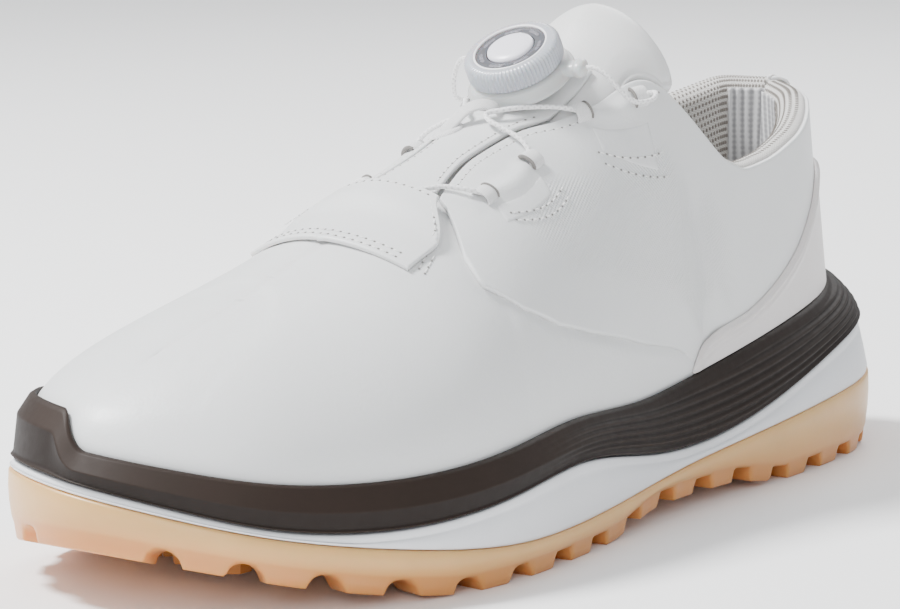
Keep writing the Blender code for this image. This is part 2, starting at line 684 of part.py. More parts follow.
def build_upper(mats):
    white = mats["leather"]
    heel = mats["heel"]
    textile = mats["lining"]
    low_edge = -0.92

    def bottom(u):
        return low_edge

    def quarter_low(u):
        return max(vamp_edge(u, 0.6), low_edge)

    rear = [0.007] + rim_span(1, 19) + [0.652]
    side_patch("lateral_quarter", rear, quarter_low, quarter_top, 6, -SKIN, white, SKIN)
    side_patch("medial_quarter", [2.0 - u for u in reversed(rear)], quarter_low, quarter_top, 6, -SKIN, white, SKIN)
    front = rim_span(11, 19) + [0.657] + rim_span(20, 40) + [1.343] + rim_span(41, 49)
    side_patch("vamp", front, bottom, lambda u: max(vamp_edge(u, -0.6), low_edge + 0.1), 9, -SKIN, white, SKIN)

    def cup_top(u):
        return last_inside(u, lambda p: p[2] < HEEL_CUP_AT(p[1]))

    def cup_low(u):
        return min(height_param(u, BAND_TOP_AT(u) + 0.7), cup_top(u) - 0.01)

    side_patch("heel_cup", [-0.381] + rim_span(-11, 11) + [0.381], cup_low, cup_top, 4, 0.5, heel, 1.2)

    def stiffener_top(u):
        return height_param(u, STIFFENER_TOP)

    side_patch("heel_stiffener", rim_span(-9, 9), bottom, stiffener_top, 4,
               -(BACKING_DEPTH + BACKING), mats["board"], BACKING)
    side_patch("toe_puff", rim_span(26, 34), bottom, lambda u: 0.75, 8,
               -(BACKING_DEPTH + BACKING), mats["board"], BACKING)
    side_patch("vamp_lining", rim_span(20, 40), bottom, lambda u: 1.0, 9,
               -(LINING_DEPTH + LINING), textile, LINING)

    def lining_top(u):
        clear_of_tongue = last_inside(
            u, lambda p: p[1] > 42 or abs(p[0] - ridge_x(p[1])) > EYESTAY_AT(p[1]) + 9.5)
        return min(quarter_top(u), clear_of_tongue) - 0.005

    side_patch("quarter_lining", [-0.655] + rim_span(-19, 19) + [0.655], bottom, lining_top, 7,
               lining_offset, textile, LINING)

    inner = []
    outer = []
    for u in rim_span(-10, 10):
        top = lining_top(u) - 0.02
        low = height_param(u, STIFFENER_TOP + 1.5)
        steps = span(low, top, 4)
        outer.append([skin_point(u, h, -BACKING_DEPTH - 0.4) for h in steps])
        inner.append([skin_point(u, h, min(lining_offset(u, h) + LINING + 0.9, -BACKING_DEPTH - 1.0)) for h in steps])
    wrap_solid("collar_padding", inner, outer, mats["foam"])

    edge = [skin_point(u, lining_top(u), -4.6) + np.array([0.0, 0.0, 1.5]) for u in span(-0.333, 0.333, 28)]
    rod("collar_binding", edge, 2.5, mats["lining"])


def wrap_solid(name, inner, outer, surface):
    """Close the space between two matching grids into one solid."""
    rows = len(inner)
    columns = len(inner[0])
    points = [p for row in inner for p in row] + [p for row in outer for p in row]
    size = rows * columns
    faces = []
    for r in range(rows - 1):
        for c in range(columns - 1):
            a = r * columns + c
            quad = (a, a + 1, a + columns + 1, a + columns)
            faces.append(quad)
            faces.append(tuple(size + q for q in reversed(quad)))
    border = ([(0, c) for c in range(columns)] + [(r, columns - 1) for r in range(1, rows)]
              + [(rows - 1, c) for c in range(columns - 2, -1, -1)]
               + [(r, 0) for r in range(rows - 2, 0, -1)])
    for k, (r, c) in enumerate(border):
        rn, cn = border[(k + 1) % len(border)]
        a = r * columns + c
        b = rn * columns + cn
        faces.append((b, a, size + a, size + b))
    return new_object(name, mesh_from(name, points, faces), surface)


def tongue_low(u):
    """Side edge of the tongue: under the eyestays, and rounded at the free top."""
    def inside(p):
        return abs(p[0] - ridge_x(p[1])) > EYESTAY_AT(p[1]) + 7.0 - 7.0 * ease((p[1] - 8.0) / 22.0)
    t = u if u <= 1.0 else 2.0 - u
    return max(last_inside(u, inside, low=0.4), 0.48 + 0.12 * ease((0.42 - t) / 0.035))


def build_tongue(mats):
    for name, depth, thickness, surface in (("tongue_cover", 3.3, 1.0, mats["leather"]),
                                            ("tongue_padding", 6.0, 1.8, mats["foam"]),
                                            ("tongue_lining", 7.8, 0.9, mats["lining"])):
        ridge_patch(name, span(0.388, 0.632, 14), tongue_low, tongue_low, 5, -depth, surface, thickness)

    def half_panel(y):
        return EYESTAY_AT(min(y, 3.0)) - 1.6

    panel = [[(ridge_x(y) + half_panel(y) * k / 3.0, y) for k in range(-3, 4)] for y in span(-41.5, 21.0, 14)]
    plan_patch("dial_panel", panel, -SKIN, mats["leather"], SKIN)

    patch = []
    for y in span(-69.0, -43.6, 8):
        half = 15.0 + 9.0 * ease((-43.0 - y) / 13.0)
        patch.append([(ridge_x(y) + half * k / 4.0, y) for k in range(-4, 5)])
    plan_patch("throat_patch", patch, lambda y: 0.5 + 1.8 * ease((y + 60.0) / 9.0), mats["leather"], 1.2)


# ---------------------------------------------------------------- tubes, guides and lace
def smooth_path(points, spacing):
    """Evenly spaced points on a smooth curve through the given points."""
    points = np.array(points)
    run = np.concatenate([[0.0], np.cumsum(np.linalg.norm(np.diff(points, axis=0), axis=1))])
    slopes = np.gradient(points, run, axis=0)
    dense = []
    for k in range(len(points) - 1):
        gap = run[k + 1] - run[k]
        for x in np.linspace(0.0, 1.0, 24, endpoint=False):
            dense.append((1 + 2 * x) * (1 - x) ** 2 * points[k] + x * (1 - x) ** 2 * gap * slopes[k]
                         + x * x * (3 - 2 * x) * points[k + 1] + x * x * (x - 1) * gap * slopes[k + 1])
    dense.append(points[-1])
    dense = np.array(dense)
    along = np.concatenate([[0.0], np.cumsum(np.linalg.norm(np.diff(dense, axis=0), axis=1))])
    count = max(int(round(along[-1] / spacing)), 2)
    places = np.linspace(0.0, along[-1], count + 1)
    return [np.array([np.interp(p, along, dense[:, k]) for k in range(3)]) for p in places]


def circles(path, radius, sides):
    """Circles of points square to a path."""
    made = []
    normal = np.array([0.0, 0.0, 1.0])
    for k, centre in enumerate(path):
        ahead = path[min(k + 1, len(path) - 1)] - path[max(k - 1, 0)]
        ahead = ahead / np.linalg.norm(ahead)
        side = np.cross(ahead, normal)
        side = side / np.linalg.norm(side)
        normal = np.cross(side, ahead)
        turns = [2.0 * math.pi * j / sides for j in range(sides)]
        made.append([centre + radius * (side * math.cos(a) + normal * math.sin(a)) for a in turns])
    return made


def pipe(name, path, bore, radius, surface, sides=8):
    """A hollow tube along a path."""
    outside = circles(path, radius, sides)
    inside = circles(path, bore, sides)
    return loft(name, outside + inside[::-1], surface, closed_section=True)


def rod(name, path, radius, surface):
    """A solid round rod as a curve with filled ends."""
    curve = bpy.data.curves.new(name, "CURVE")
    curve.dimensions = "3D"
    curve.bevel_depth = radius * MM
    curve.bevel_resolution = 2
    curve.use_fill_caps = True
    line = curve.splines.new("POLY")
    line.points.add(len(path) - 1)
    for point, place in zip(line.points, path):
        point.co = (place[0] * MM, place[1] * MM, place[2] * MM, 1.0)
    return new_object(name, curve, surface)


def mirrored(points):
    """The matching medial points; the medial side of the instep is a little narrower."""
    return [(MIRROR_X - MEDIAL_NARROWING * (x - MIRROR_X), y, lift) for x, y, lift in points]


def dial_point(radius, angle, height):
    """A point given in the dial's own round coordinates."""
    lean = np.array([0.0, -math.sin(DIAL_TILT), math.cos(DIAL_TILT)])
    upslope = np.array([0.0, math.cos(DIAL_TILT), math.sin(DIAL_TILT)])
    across = np.array([1.0, 0.0, 0.0])
    outward = across * math.cos(angle) + upslope * math.sin(angle)
    return np.array(DIAL_SEAT) + lean * height + radius * outward


def guide_path(route, flip):
    return smooth_path([over(*p) for p in flip(route)], 1.9 if route is HOOK_GUIDE else 3.0)


def build_guides(surface, webbing):
    for side, flip in (("lateral", lambda p: p), ("medial", mirrored)):
        for place, route in (("upper", UPPER_GUIDE), ("lower", LOWER_GUIDE), ("centre", HOOK_GUIDE)):
            pipe("lace_guide_%s_%s" % (side, place), guide_path(route, flip), GUIDE_BORE, GUIDE_RADIUS, surface)
        for place, route in (("upper", UPPER_GUIDE), ("lower", LOWER_GUIDE)):
            inner = [(x + 2.6, y, 0) for x, y, _ in route[1:]]
            outer = [(x + 5.8, y - 1.0, 0) for x, y, _ in route[1:]]
            rows = []
            for near, far in zip(flip(inner), flip(outer)):
                rows.append([(near[0] + (far[0] - near[0]) * k / 3.0, near[1] + (far[1] - near[1]) * k / 3.0)
                             for k in range(4)])
            plan_patch("guide_tab_%s_%s" % (side, place), rows, 0.5, webbing, 0.9)


def lace_half(flip, angle):
    """Half of the lace: dial, upper guide, hook, lower guide, throat."""
    start = [dial_point(BOSS_REACH + 0.4, angle, BOSS_HEIGHT),
             dial_point(BOSS_REACH + 3.0, angle, BOSS_HEIGHT)]

    def points(route):
        return [over(*p) for p in flip(route)]

    return (start + points(LACE_TURN) + guide_path(UPPER_GUIDE, flip)
            + points([(10.8, 0.6, 2.4)]) + guide_path(HOOK_GUIDE, flip) + points([(11.6, -11.0, 1.9)])
            + guide_path(LOWER_GUIDE, flip) + points(THROAT_CROSSING))


def build_lace(surface):
    lateral = lace_half(lambda p: p, BOSS_ANGLE)
    medial = lace_half(mirrored, math.pi - BOSS_ANGLE)
    middle = [over(MIRROR_X + 0.3, -47.0, 1.3)]
    path = smooth_path(lateral + middle + medial[::-1], 2.6)
    rod("lace", path, LACE_RADIUS, surface)


# ---------------------------------------------------------------- dial
def build_dial(mats):
    seat = bpy.data.objects.new("dial_axis", None)
    seat.empty_display_size = 0.01
    seat.location = [c * MM for c in DIAL_SEAT]
    seat.rotation_euler = (DIAL_TILT, 0.0, 0.0)
    COLLECTION.objects.link(seat)
    bpy.context.view_layer.update()
    base = turned("dial_base", [
        (NECK_RADIUS, 6.6), (NECK_RADIUS, 3.5), (BOWL_RADIUS - 0.3, 3.3), (BOWL_RADIUS, 1.2), (FLANGE_RADIUS, 0.9),
        (FLANGE_RADIUS, 0.4), (1.5, 0.4), (1.5, 5.3), (2.6, 5.3), (2.6, 1.7), (9.6, 1.7), (9.6, 6.6),
    ], mats["clear"], seat)
    for name, angle in (("lateral", BOSS_ANGLE), ("medial", math.pi - BOSS_ANGLE)):
        add_boss(base, name, angle)
    turned("dial_spool", [
        (9.1, 4.5), (9.1, 4.1), (7.6, 3.8), (7.6, 2.8), (9.1, 2.5), (9.1, 2.1), (3.1, 2.1), (3.1, 4.5)],
           mats["plastic"], seat)
    turned("dial_ratchet", [(9.2, 5.9), (9.2, 4.9), (3.1, 4.9), (3.1, 5.9)], mats["plastic"], seat)
    turned("dial_knob", [(KNOB_RADIUS - 1.3, 9.9), (KNOB_RADIUS, 8.9), (KNOB_RADIUS, 4.0), (11.3, 4.0), (11.3, 7.0),
                         (2.9, 7.0), (2.9, 8.0), (9.3, 8.0), (9.3, 9.9)], mats["clear"], seat, KNOB_GRIPS)
    turned("dial_window", [(9.0, 9.6), (9.0, 8.3), (6.4, 8.3), (6.4, 9.6)], mats["smoke"], seat)
    turned("dial_cap", [(0.0, 10.2), (5.5, 10.2), (6.0, 9.8), (6.0, 9.2), (0.0, 9.2)], mats["plastic"], seat, 24)
    turned("dial_screw", [
        (0.0, 8.9), (4.8, 8.9), (4.8, 8.3), (2.5, 8.3), (2.5, 5.6), (1.1, 5.6), (1.1, 0.9), (0.0, 0.9)],
           mats["steel"], seat, 16)


def add_boss(base, name, angle):
    """Join a lace outlet to the dial's base."""
    outlet = bpy.data.meshes.new("outlet_" + name)
    work = bmesh.new()
    reach = BOSS_REACH - BOSS_START
    bmesh.ops.create_cone(work, cap_ends=True, segments=12, radius1=1.6 * MM, radius2=1.4 * MM, depth=reach * MM)
    turn = Matrix.Rotation(angle, 4, "Z") @ Matrix.Translation(((BOSS_START + reach / 2.0) * MM, 0, BOSS_HEIGHT * MM))
    bmesh.ops.transform(work, matrix=turn @ Matrix.Rotation(math.radians(90.0), 4, "Y"), verts=work.verts)
    work.to_mesh(outlet)
    work.free()
    cutter = bpy.data.objects.new("outlet_" + name, outlet)
    CUTTERS.objects.link(cutter)
    cutter.parent = base.parent
    cutter.hide_render = True
    cutter.display_type = "WIRE"
    joined = base.modifiers.new("outlet_" + name, "BOOLEAN")
    joined.operation = "UNION"
    joined.object = cutter


def main():
    for old in list(bpy.data.objects):
        bpy.data.objects.remove(old)
    bpy.context.scene.collection.children.link(COLLECTION)
    bpy.context.scene.collection.children.link(CUTTERS)
    mats = {
        "leather": material("white_leather", (0.86, 0.86, 0.85), 0.45),
        "heel": material("heel_leather", (0.80, 0.77, 0.75), 0.4),
        "lining": material("lining_textile", (0.66, 0.64, 0.61), 0.95),
        "foam": material("foam", (0.80, 0.78, 0.72), 0.95),
        "board": material("fibre_board", (0.62, 0.52, 0.38), 0.85),
        "clear": material("clear_plastic", (0.78, 0.77, 0.80), 0.25),
        "smoke": material("smoked_plastic", (0.30, 0.29, 0.31), 0.2),
        "plastic": material("white_plastic", (0.86, 0.86, 0.88), 0.35),
        "steel": material("steel", (0.6, 0.6, 0.62), 0.3, 1.0),
    }
    rubber = material("gum_rubber", (0.74, 0.47, 0.24), 0.45)
    midsole = material("white_midsole", (0.84, 0.85, 0.87), 0.5)
    band = material("brown_band", (0.06, 0.042, 0.034), 0.5)
    shank = material("shank_plastic", (0.1, 0.1, 0.11), 0.4)
    build_sole(rubber, midsole, band)
    build_shank(shank)
    flat_layer("lasting_board", 9.8, 0.6, 1.4, mats["board"])
    flat_layer("insole_foam", 10.6, 2.9, 2.9, mats["foam"])
    flat_layer("insole_cover", 10.6, 6.7, 0.8, mats["lining"])
    build_upper(mats)
    build_tongue(mats)
    webbing = material("white_webbing", (0.84, 0.84, 0.84), 0.8)
    build_guides(mats["plastic"], webbing)
    build_lace(webbing)
    build_dial(mats)


main()
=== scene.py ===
"""Looks for a left golf shoe with a dial lace closure, laid out as an add-on and run as a script."""
import math

import bmesh
import bpy
import numpy as np
from bpy.props import FloatProperty, FloatVectorProperty, IntProperty, PointerProperty
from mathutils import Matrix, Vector


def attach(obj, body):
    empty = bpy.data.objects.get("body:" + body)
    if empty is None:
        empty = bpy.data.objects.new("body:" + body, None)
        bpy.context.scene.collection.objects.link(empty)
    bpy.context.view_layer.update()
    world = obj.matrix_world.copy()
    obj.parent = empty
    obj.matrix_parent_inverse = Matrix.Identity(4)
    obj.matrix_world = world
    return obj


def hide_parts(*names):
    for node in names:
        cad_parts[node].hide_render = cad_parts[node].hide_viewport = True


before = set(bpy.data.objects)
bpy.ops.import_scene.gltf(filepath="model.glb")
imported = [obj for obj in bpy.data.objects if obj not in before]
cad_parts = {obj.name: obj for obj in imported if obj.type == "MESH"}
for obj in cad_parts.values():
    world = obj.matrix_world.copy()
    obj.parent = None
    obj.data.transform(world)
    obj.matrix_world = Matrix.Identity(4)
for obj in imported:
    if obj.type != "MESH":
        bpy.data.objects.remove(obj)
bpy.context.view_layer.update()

bl_info = {
    "name": "Golf shoe with a dial closure",
    "version": (1, 0, 0),
    "blender": (4, 5, 0),
    "location": "3D View > Sidebar > Golf shoe",
    "description": "Builds the soft, stitched and moulded surfaces of a golf shoe around its packed frame",
    "category": "Object",
}

MM = 0.001
SHOE = "shoe"
TURNER = "dial_turner"

# ---------------------------------------------------------------- the shoe's own shape, in millimetres
OUTLINE = [
    (0, 150), (17.7, 144), (30.1, 130), (37.2, 105), (40.9, 65), (42.7, 25), (47.9, -10),
    (52.9, -40), (55.2, -65), (51.8, -90), (42.5, -112), (30.1, -130), (13.3, -143),
    (-6.7, -150), (-32.1, -143), (-46.1, -130), (-54.1, -112), (-56.1, -90), (-52.6, -65),
    (-44.4, -40), (-35.4, -10), (-31.2, 25), (-34.6, 65), (-37.1, 105), (-31.8, 130), (-18.2, 144),
]
TOE_INDEX = 13
RIM = [0, 0.12, 0.25, 0.38, 0.46, 0.58, 0.68, 0.77, 0.86, 0.93, 1.0, 1.08, 1.16, 1.3, 1.45, 1.6, 1.75, 1.88]
BAND_BOTTOM = [38, 34.8, 25, 17, 18, 23.3, 20.4, 17.8, 19.7, 24.8, 29.3, 30.4, 27.2, 19, 21.5, 17, 25, 34.8]
BAND_TOP = [50, 45.5, 40.2, 33.8, 31.5, 33.3, 30.8, 28.8, 29.9, 33.3, 36.5, 37.5, 36, 31, 33, 33.8, 40.2, 45.5]
GUM_TOP = [22, 20, 16.8, 13, 10.8, 8.6, 9.2, 12.6, 17.5, 22.5, 26.8, 27.9, 25, 16, 9.2, 12.5, 16.8, 20]
BAND_TOP_INSET = [13, 10.5, 6, 4.2, 3.6, 3.2, 3, 3, 3, 3, 3, 3, 3, 3, 3.2, 4.2, 6, 10.5]
BAND_BOTTOM_INSET = [3.6, 3.2, 2.2, 1.6, 1.4, 1.2, 1.2, 1.2, 1.2, 1.2, 1.2, 1.2, 1.2, 1.2, 1.4, 1.6, 2.2, 3.2]
LUG_FACE = [(-150, 14.5), (-135, 10), (-120, 6), (-100, 2.2), (-78, 0), (-20, 0), (12, 4), (45, 3.6), (78, 0),
            (126, 0), (139, 1.8), (150, 4.5)]
FOOT_BED = [(-150, 28), (-130, 25), (-100, 20.5), (-50, 19), (0, 21.5), (50, 26), (100, 29), (150, 30)]
LUG_HEIGHT = 4.2
PLATE_THICKNESS = 3.0
GUM_WALL = 2.6
BUMPER_RISE = 6.5
BUMPER_START = 1.0
BUMPER_END = 1.22
BUMPER_RAMP = 0.035
SECTION_T = [0, 0.1, 0.2, 0.3, 0.38, 0.46, 0.55, 0.65, 0.75, 0.85, 0.93, 1.0]
SECTION_ROWS = {
    "top_x": [0, 16, 26, 27, 2, 0.5, 0, -0.5, -2, -4, -6, -8],
    "top_y": [132, 118, 92, 62, 39, 14, -13, -42, -70, -93, -107, -116],
    "top_z": [112, 112, 112, 108, 128, 110, 98, 87.5, 76, 67.5, 62, 58],
    "rise": [14, 15, 17, 22, 44, 42, 31, 27, 21, 17, 12, 9],
    "bulge": [-4.5, -2, 0.5, 0, 1.5, 0.5, 0.5, 1, 1, 1.2, 1.2, 1.2],
    "reach_x": [0, 0, 2, 6, 28, 25, 24, 24.5, 24, 19, 13, 0],
    "reach_y": [-2, 1.5, 2, 2, 4, -1.8, -3, -4.8, -7, -10.8, -15.2, -20],
    "reach_z": [-24, -20, -20, -20, -2, -1.1, -1.1, -1.9, -2.5, -3.6, -5.6, -8.5],
}
MEDIAL_ARCH_BULGE = 3.6
MEDIAL_REACH_CUT = 0.22
COLLAR_LINE = [(41, 101.5), (50, 91.5), (58, 85.5), (66, 83.3), (78, 84.2), (95, 88), (110, 92.5), (124, 97),
               (134, 98.5)]
COLLAR_MEDIAL_RISE = 3.0
COLLAR_CORNER_Y = 41.0
EYESTAY_LINE = [(-47, 16), (-38, 12.6), (-23, 9.6), (-8, 11), (3, 15), (14, 18), (27, 21), (36, 24.5), (41, 28.5)]
SEAM_PLACES = [(15.6, -42.6), (21.0, -46.0), (29.0, -51.8), (35.0, -53.0), (40.0, -44.0), (42.5, -31.9), (42.0, -12.0),
               (39.1, 6.7), (37.2, 24.0), (35.4, 36.0)]
HEEL_CUP_LINE = [(34, 34), (40, 41), (66, 47), (92, 58), (105, 68), (115, 76), (125, 79.5), (140, 80)]
SKIN = 1.3
FOOT_H = -0.92
HEEL_CUP_T = 0.385
TONGUE_TIP_T = 0.362
MESH_PITCH_T = 0.0046
CHANNEL_RISE = 1.25
LINING_DEPTH = 3.9
COLLAR_PAD = 5.0
MIRROR_X = -0.5
MEDIAL_NARROWING = 0.84
DIAL_SEAT = np.array([0.9, 8.6, 109.2])
DIAL_TILT = math.radians(31.0)
BOSS_ANGLE = math.radians(12.0)
BOSS_REACH = 17.6
BOSS_HEIGHT = 2.1
UPPER_REAR = (24.0, 26.6)
UPPER_FRONT = (17.9, 9.9)
LOWER_REAR = (19.0, -12.2)
LOWER_FRONT = (20.0, -32.4)
MEDIAL_PULL_IN = 3.6
STITCH_ROW_GAP = 1.7
LOOP_HALF_WIDTH = 2.5
LOOP_HEIGHT = 2.7
CAMERA_PLACE = (0.5931, -0.7903, 0.2102)
CAMERA_AIM = (0.02789, -0.05624, 0.06231)
CAMERA_LENS = 157.9
LIGHTS_AIM = (0.0, 0.0, 0.05)
LIGHTS = (
    ("key_light", (-0.7, -0.5, 1.3), 52.0, 0.4), ("fill_light", (-1.0, -1.2, 0.9), 5.0, 1.2),
    ("rim_light", (-0.3, 1.1, 1.1), 12.0, 0.8), ("front_light", (0.7, -1.3, 0.5), 9.0, 0.9),
)


# ---------------------------------------------------------------- curves
def periodic_spline(knots, values, period):
    """A smooth closed cubic through the values at the knots, for arrays of places."""
    knots = np.asarray(knots, float)
    values = np.asarray(values, float)
    count = len(knots)
    gaps = np.diff(np.append(knots, knots[0] + period))
    system = np.zeros((count, count))
    right = np.zeros_like(values)
    for k in range(count):
        before = (k - 1) % count
        after = (k + 1) % count
        system[k, before] += gaps[before]
        system[k, k] += 2.0 * (gaps[before] + gaps[k])
        system[k, after] += gaps[k]
        right[k] = 6.0 * ((values[after] - values[k]) / gaps[k] - (values[k] - values[before]) / gaps[before])
    bend = np.linalg.solve(system, right)

    def evaluate(place):
        place = (np.asarray(place, float) - knots[0]) % period + knots[0]
        k = np.clip(np.searchsorted(knots, place, side="right") - 1, 0, count - 1)
        after = (k + 1) % count
        gap = gaps[k]
        a = (knots[k] + gap - place) / gap
        b = 1.0 - a
        if values.ndim == 2:
            a = a[..., None]
            b = b[..., None]
            gap = gap[..., None]
        return (a * values[k] + b * values[after]
                + ((a ** 3 - a) * bend[k] + (b ** 3 - b) * bend[after]) * gap * gap / 6.0)

    return evaluate


def hermite(x, first, last, leave, arrive):
    """A cubic between two values with given slopes at its ends, at shares x of the way."""
    return ((1 + 2 * x) * (1 - x) ** 2 * first + x * (1 - x) ** 2 * leave
            + x * x * (3 - 2 * x) * last + x * x * (x - 1) * arrive)


def smooth_curve(knots, values):
    """A monotone cubic (no overshoot) through the values at the knots, for arrays of places."""
    knots = np.asarray(knots, float)
    values = np.asarray(values, float)
    step = np.diff(knots)
    slope = np.diff(values) / step
    tangent = np.zeros_like(values)
    tangent[0] = slope[0]
    tangent[-1] = slope[-1]
    for k in range(1, len(knots) - 1):
        if slope[k - 1] * slope[k] > 0:
            first = 2 * step[k] + step[k - 1]
            second = step[k] + 2 * step[k - 1]
            tangent[k] = (first + second) / (first / slope[k - 1] + second / slope[k])

    def evaluate(place):
        place = np.clip(place, knots[0], knots[-1])
        k = np.clip(np.searchsorted(knots, place, side="right") - 1, 0, len(step) - 1)
        x = (place - knots[k]) / step[k]
        return hermite(x, values[k], values[k + 1], step[k] * tangent[k], step[k] * tangent[k + 1])

    return evaluate


def through(points):
    return smooth_curve([p[0] for p in points], [p[1] for p in points])


def ease(x):
    x = np.clip(x, 0.0, 1.0)
    return x * x * (3.0 - 2.0 * x)


def rounded(distance, radius):
    """How far an edge rounded to a radius drops at a distance from its border."""
    x = np.clip(1.0 - distance / radius, 0.0, 1.0)
    return radius * (1.0 - np.sqrt(1.0 - x * x))


def unit(vectors):
    """The same directions at length one."""
    return vectors / np.maximum(np.linalg.norm(vectors, axis=-1, keepdims=True), 1e-9)


def run_lengths(points):
    """Distance along a line of points, from its first."""
    return np.concatenate([[0.0], np.cumsum(np.linalg.norm(np.diff(points, axis=0), axis=1))])


def grid_runs(grid, axis=1):
    """Distance along one way of a grid of points, from its edge."""
    steps = np.linalg.norm(np.diff(grid, axis=axis), axis=-1)
    edge = np.zeros((grid.shape[0], 1) if axis == 1 else (1, grid.shape[1]))
    return np.concatenate([edge, np.cumsum(steps, axis=axis)], axis=axis)


def sample(places, run, values):
    """Rows of values at places along their run."""
    return np.stack([np.interp(places, run, values[:, k]) for k in range(values.shape[1])], axis=-1)


def measure_rim():
    """The outline's two halves, with each point's share of the way from the heel or from the toe."""
    points = np.array(OUTLINE, float)
    chords = np.linalg.norm(np.roll(points, -1, axis=0) - points, axis=1)
    knots = np.concatenate([[0.0], np.cumsum(chords)[:-1]])
    loop = periodic_spline(knots, points, chords.sum())
    split = knots[TOE_INDEX]
    sides = []
    for start, end in ((0.0, split), (split, chords.sum())):
        samples = loop(np.linspace(start, end, 600))
        run = run_lengths(samples)
        sides.append((samples, run / run[-1]))
    return sides


RIM_SIDES = measure_rim()
BAND_BOTTOM_AT = periodic_spline(RIM, BAND_BOTTOM, 2.0)
BAND_TOP_AT = periodic_spline(RIM, BAND_TOP, 2.0)
GUM_TOP_AT = periodic_spline(RIM, GUM_TOP, 2.0)
BAND_TOP_INSET_AT = periodic_spline(RIM, BAND_TOP_INSET, 2.0)
BAND_BOTTOM_INSET_AT = periodic_spline(RIM, BAND_BOTTOM_INSET, 2.0)
LUG_FACE_AT = through(LUG_FACE)
FOOT_BED_AT = through(FOOT_BED)
COLLAR_AT = through(COLLAR_LINE)
EYESTAY_AT = through(EYESTAY_LINE)
HEEL_CUP_AT = through(HEEL_CUP_LINE)
SECTIONS = {name: smooth_curve(SECTION_T, row) for name, row in SECTION_ROWS.items()}


def side_share(u):
    """t runs 0 at the heel to 1 at the toe on both sides; side is +1 lateral and -1 medial."""
    u = np.asarray(u, float) % 2.0
    return np.where(u <= 1.0, u, 2.0 - u), np.where(u <= 1.0, 1.0, -1.0)


def rim_plan(u):
    u = np.asarray(u, float) % 2.0
    lateral = u <= 1.0
    part = np.where(lateral, u, u - 1.0)
    first, second = (sample(part, shares, points) for points, shares in RIM_SIDES)
    return np.where(lateral[..., None], first, second)


def rim_point(u):
    """Plan position and inward direction on the rim."""
    u = np.asarray(u, float)
    along = unit(rim_plan(u + 0.006) - rim_plan(u - 0.006))
    return rim_plan(u), np.stack([along[..., 1], -along[..., 0]], axis=-1)


def flat3(plan, z):
    return np.concatenate([plan, np.broadcast_to(z, plan.shape[:-1])[..., None]], axis=-1)


def section(u):
    """The five points that carry the upper's section at u."""
    t, side = side_share(u)
    row = {name: curve(t) for name, curve in SECTIONS.items()}
    medial = side < 0
    reach_x = row["reach_x"] * np.where(medial, 1.0 - MEDIAL_REACH_CUT * ease((t - 0.5) / 0.1), 1.0)
    arch = MEDIAL_ARCH_BULGE * ease((t - 0.22) / 0.12) * (1.0 - ease((t - 0.55) / 0.15))
    bulge = row["bulge"] + np.where(medial, arch, 0.0)
    here, inward = rim_point(u)
    inset = BAND_TOP_INSET_AT(u)[..., None]
    start = flat3(here + inward * (inset + 1.8), BAND_TOP_AT(u) - 1.5)
    feather = here + inward * (inset + 3.4)
    foot = flat3(feather, FOOT_BED_AT(feather[..., 1]) + 0.8)
    share = ease((t - 0.30) / 0.08)
    shared_x = SECTION_ROWS["top_x"][4] * share
    x_top = np.where(t >= 0.38, row["top_x"], side * (row["top_x"] - shared_x) + shared_x)
    lift = np.where(medial & (t < 0.38), COLLAR_MEDIAL_RISE, 0.0) * (1.0 - share)
    top = np.stack([x_top, row["top_y"], row["top_z"] + lift], axis=-1)
    first = start + flat3(-inward * bulge[..., None], row["rise"])
    last = top + np.stack([side * reach_x, row["reach_y"], row["reach_z"]], axis=-1)
    return foot, start, first, last, top


def bare(u, h):
    """The upper's outer face: h runs -1 to 0 behind the band and 0 to 1 above it."""
    u, h = np.broadcast_arrays(np.asarray(u, float), np.asarray(h, float))
    foot, start, first, last, top = section(u)
    bend = start.copy()
    bend[..., 2] = (foot[..., 2] + start[..., 2]) / 2.0
    b = np.clip(-h, 0.0, 1.0)[..., None]
    below = start * (1 - b) ** 2 + bend * 2 * b * (1 - b) + foot * b * b
    g = np.clip(h, 0.0, 1.0)[..., None]
    a = 1.0 - g
    above = start * a ** 3 + first * 3 * a * a * g + last * 3 * a * g * g + top * g ** 3
    return np.where((h < 0)[..., None], below, above)


def normal_at(u, h):
    """Outward directions of the outer face; along the instep's ridge they point square to it."""
    u, h = np.broadcast_arrays(np.asarray(u, float), np.asarray(h, float))
    step = 0.004
    t, _ = side_share(u)
    here = bare(u, h)
    along = bare(u + step, h) - bare(u - step, h)
    climb = bare(u, np.where(h < 1.0 - step, h + step, h)) - bare(u, np.where(h > step, h - step, h))
    normal = unit(np.cross(along, climb))
    core = np.stack([np.zeros_like(h), here[..., 1] * 0.7, np.full_like(h, 30.0)], axis=-1)
    normal = np.where((np.sum(normal * (here - core), axis=-1) < 0)[..., None], -normal, normal)
    run = bare(np.minimum(t + 0.01, 1.0), 1.0) - bare(t - 0.01, 1.0)
    up = unit(np.stack([np.zeros_like(h), -run[..., 2], run[..., 1]], axis=-1))
    up = np.where((up[..., 2] < 0)[..., None], -up, up)
    near = (ease((h - 0.97) / 0.03) * ease((t - 0.385) / 0.01))[..., None]
    return unit(normal * (1 - near) + up * near)


def skin(u, h, offset=0.0):
    """A point over the outer face by an offset along its normal."""
    return bare(u, h) + normal_at(u, h) * np.asarray(offset, float)[..., None]


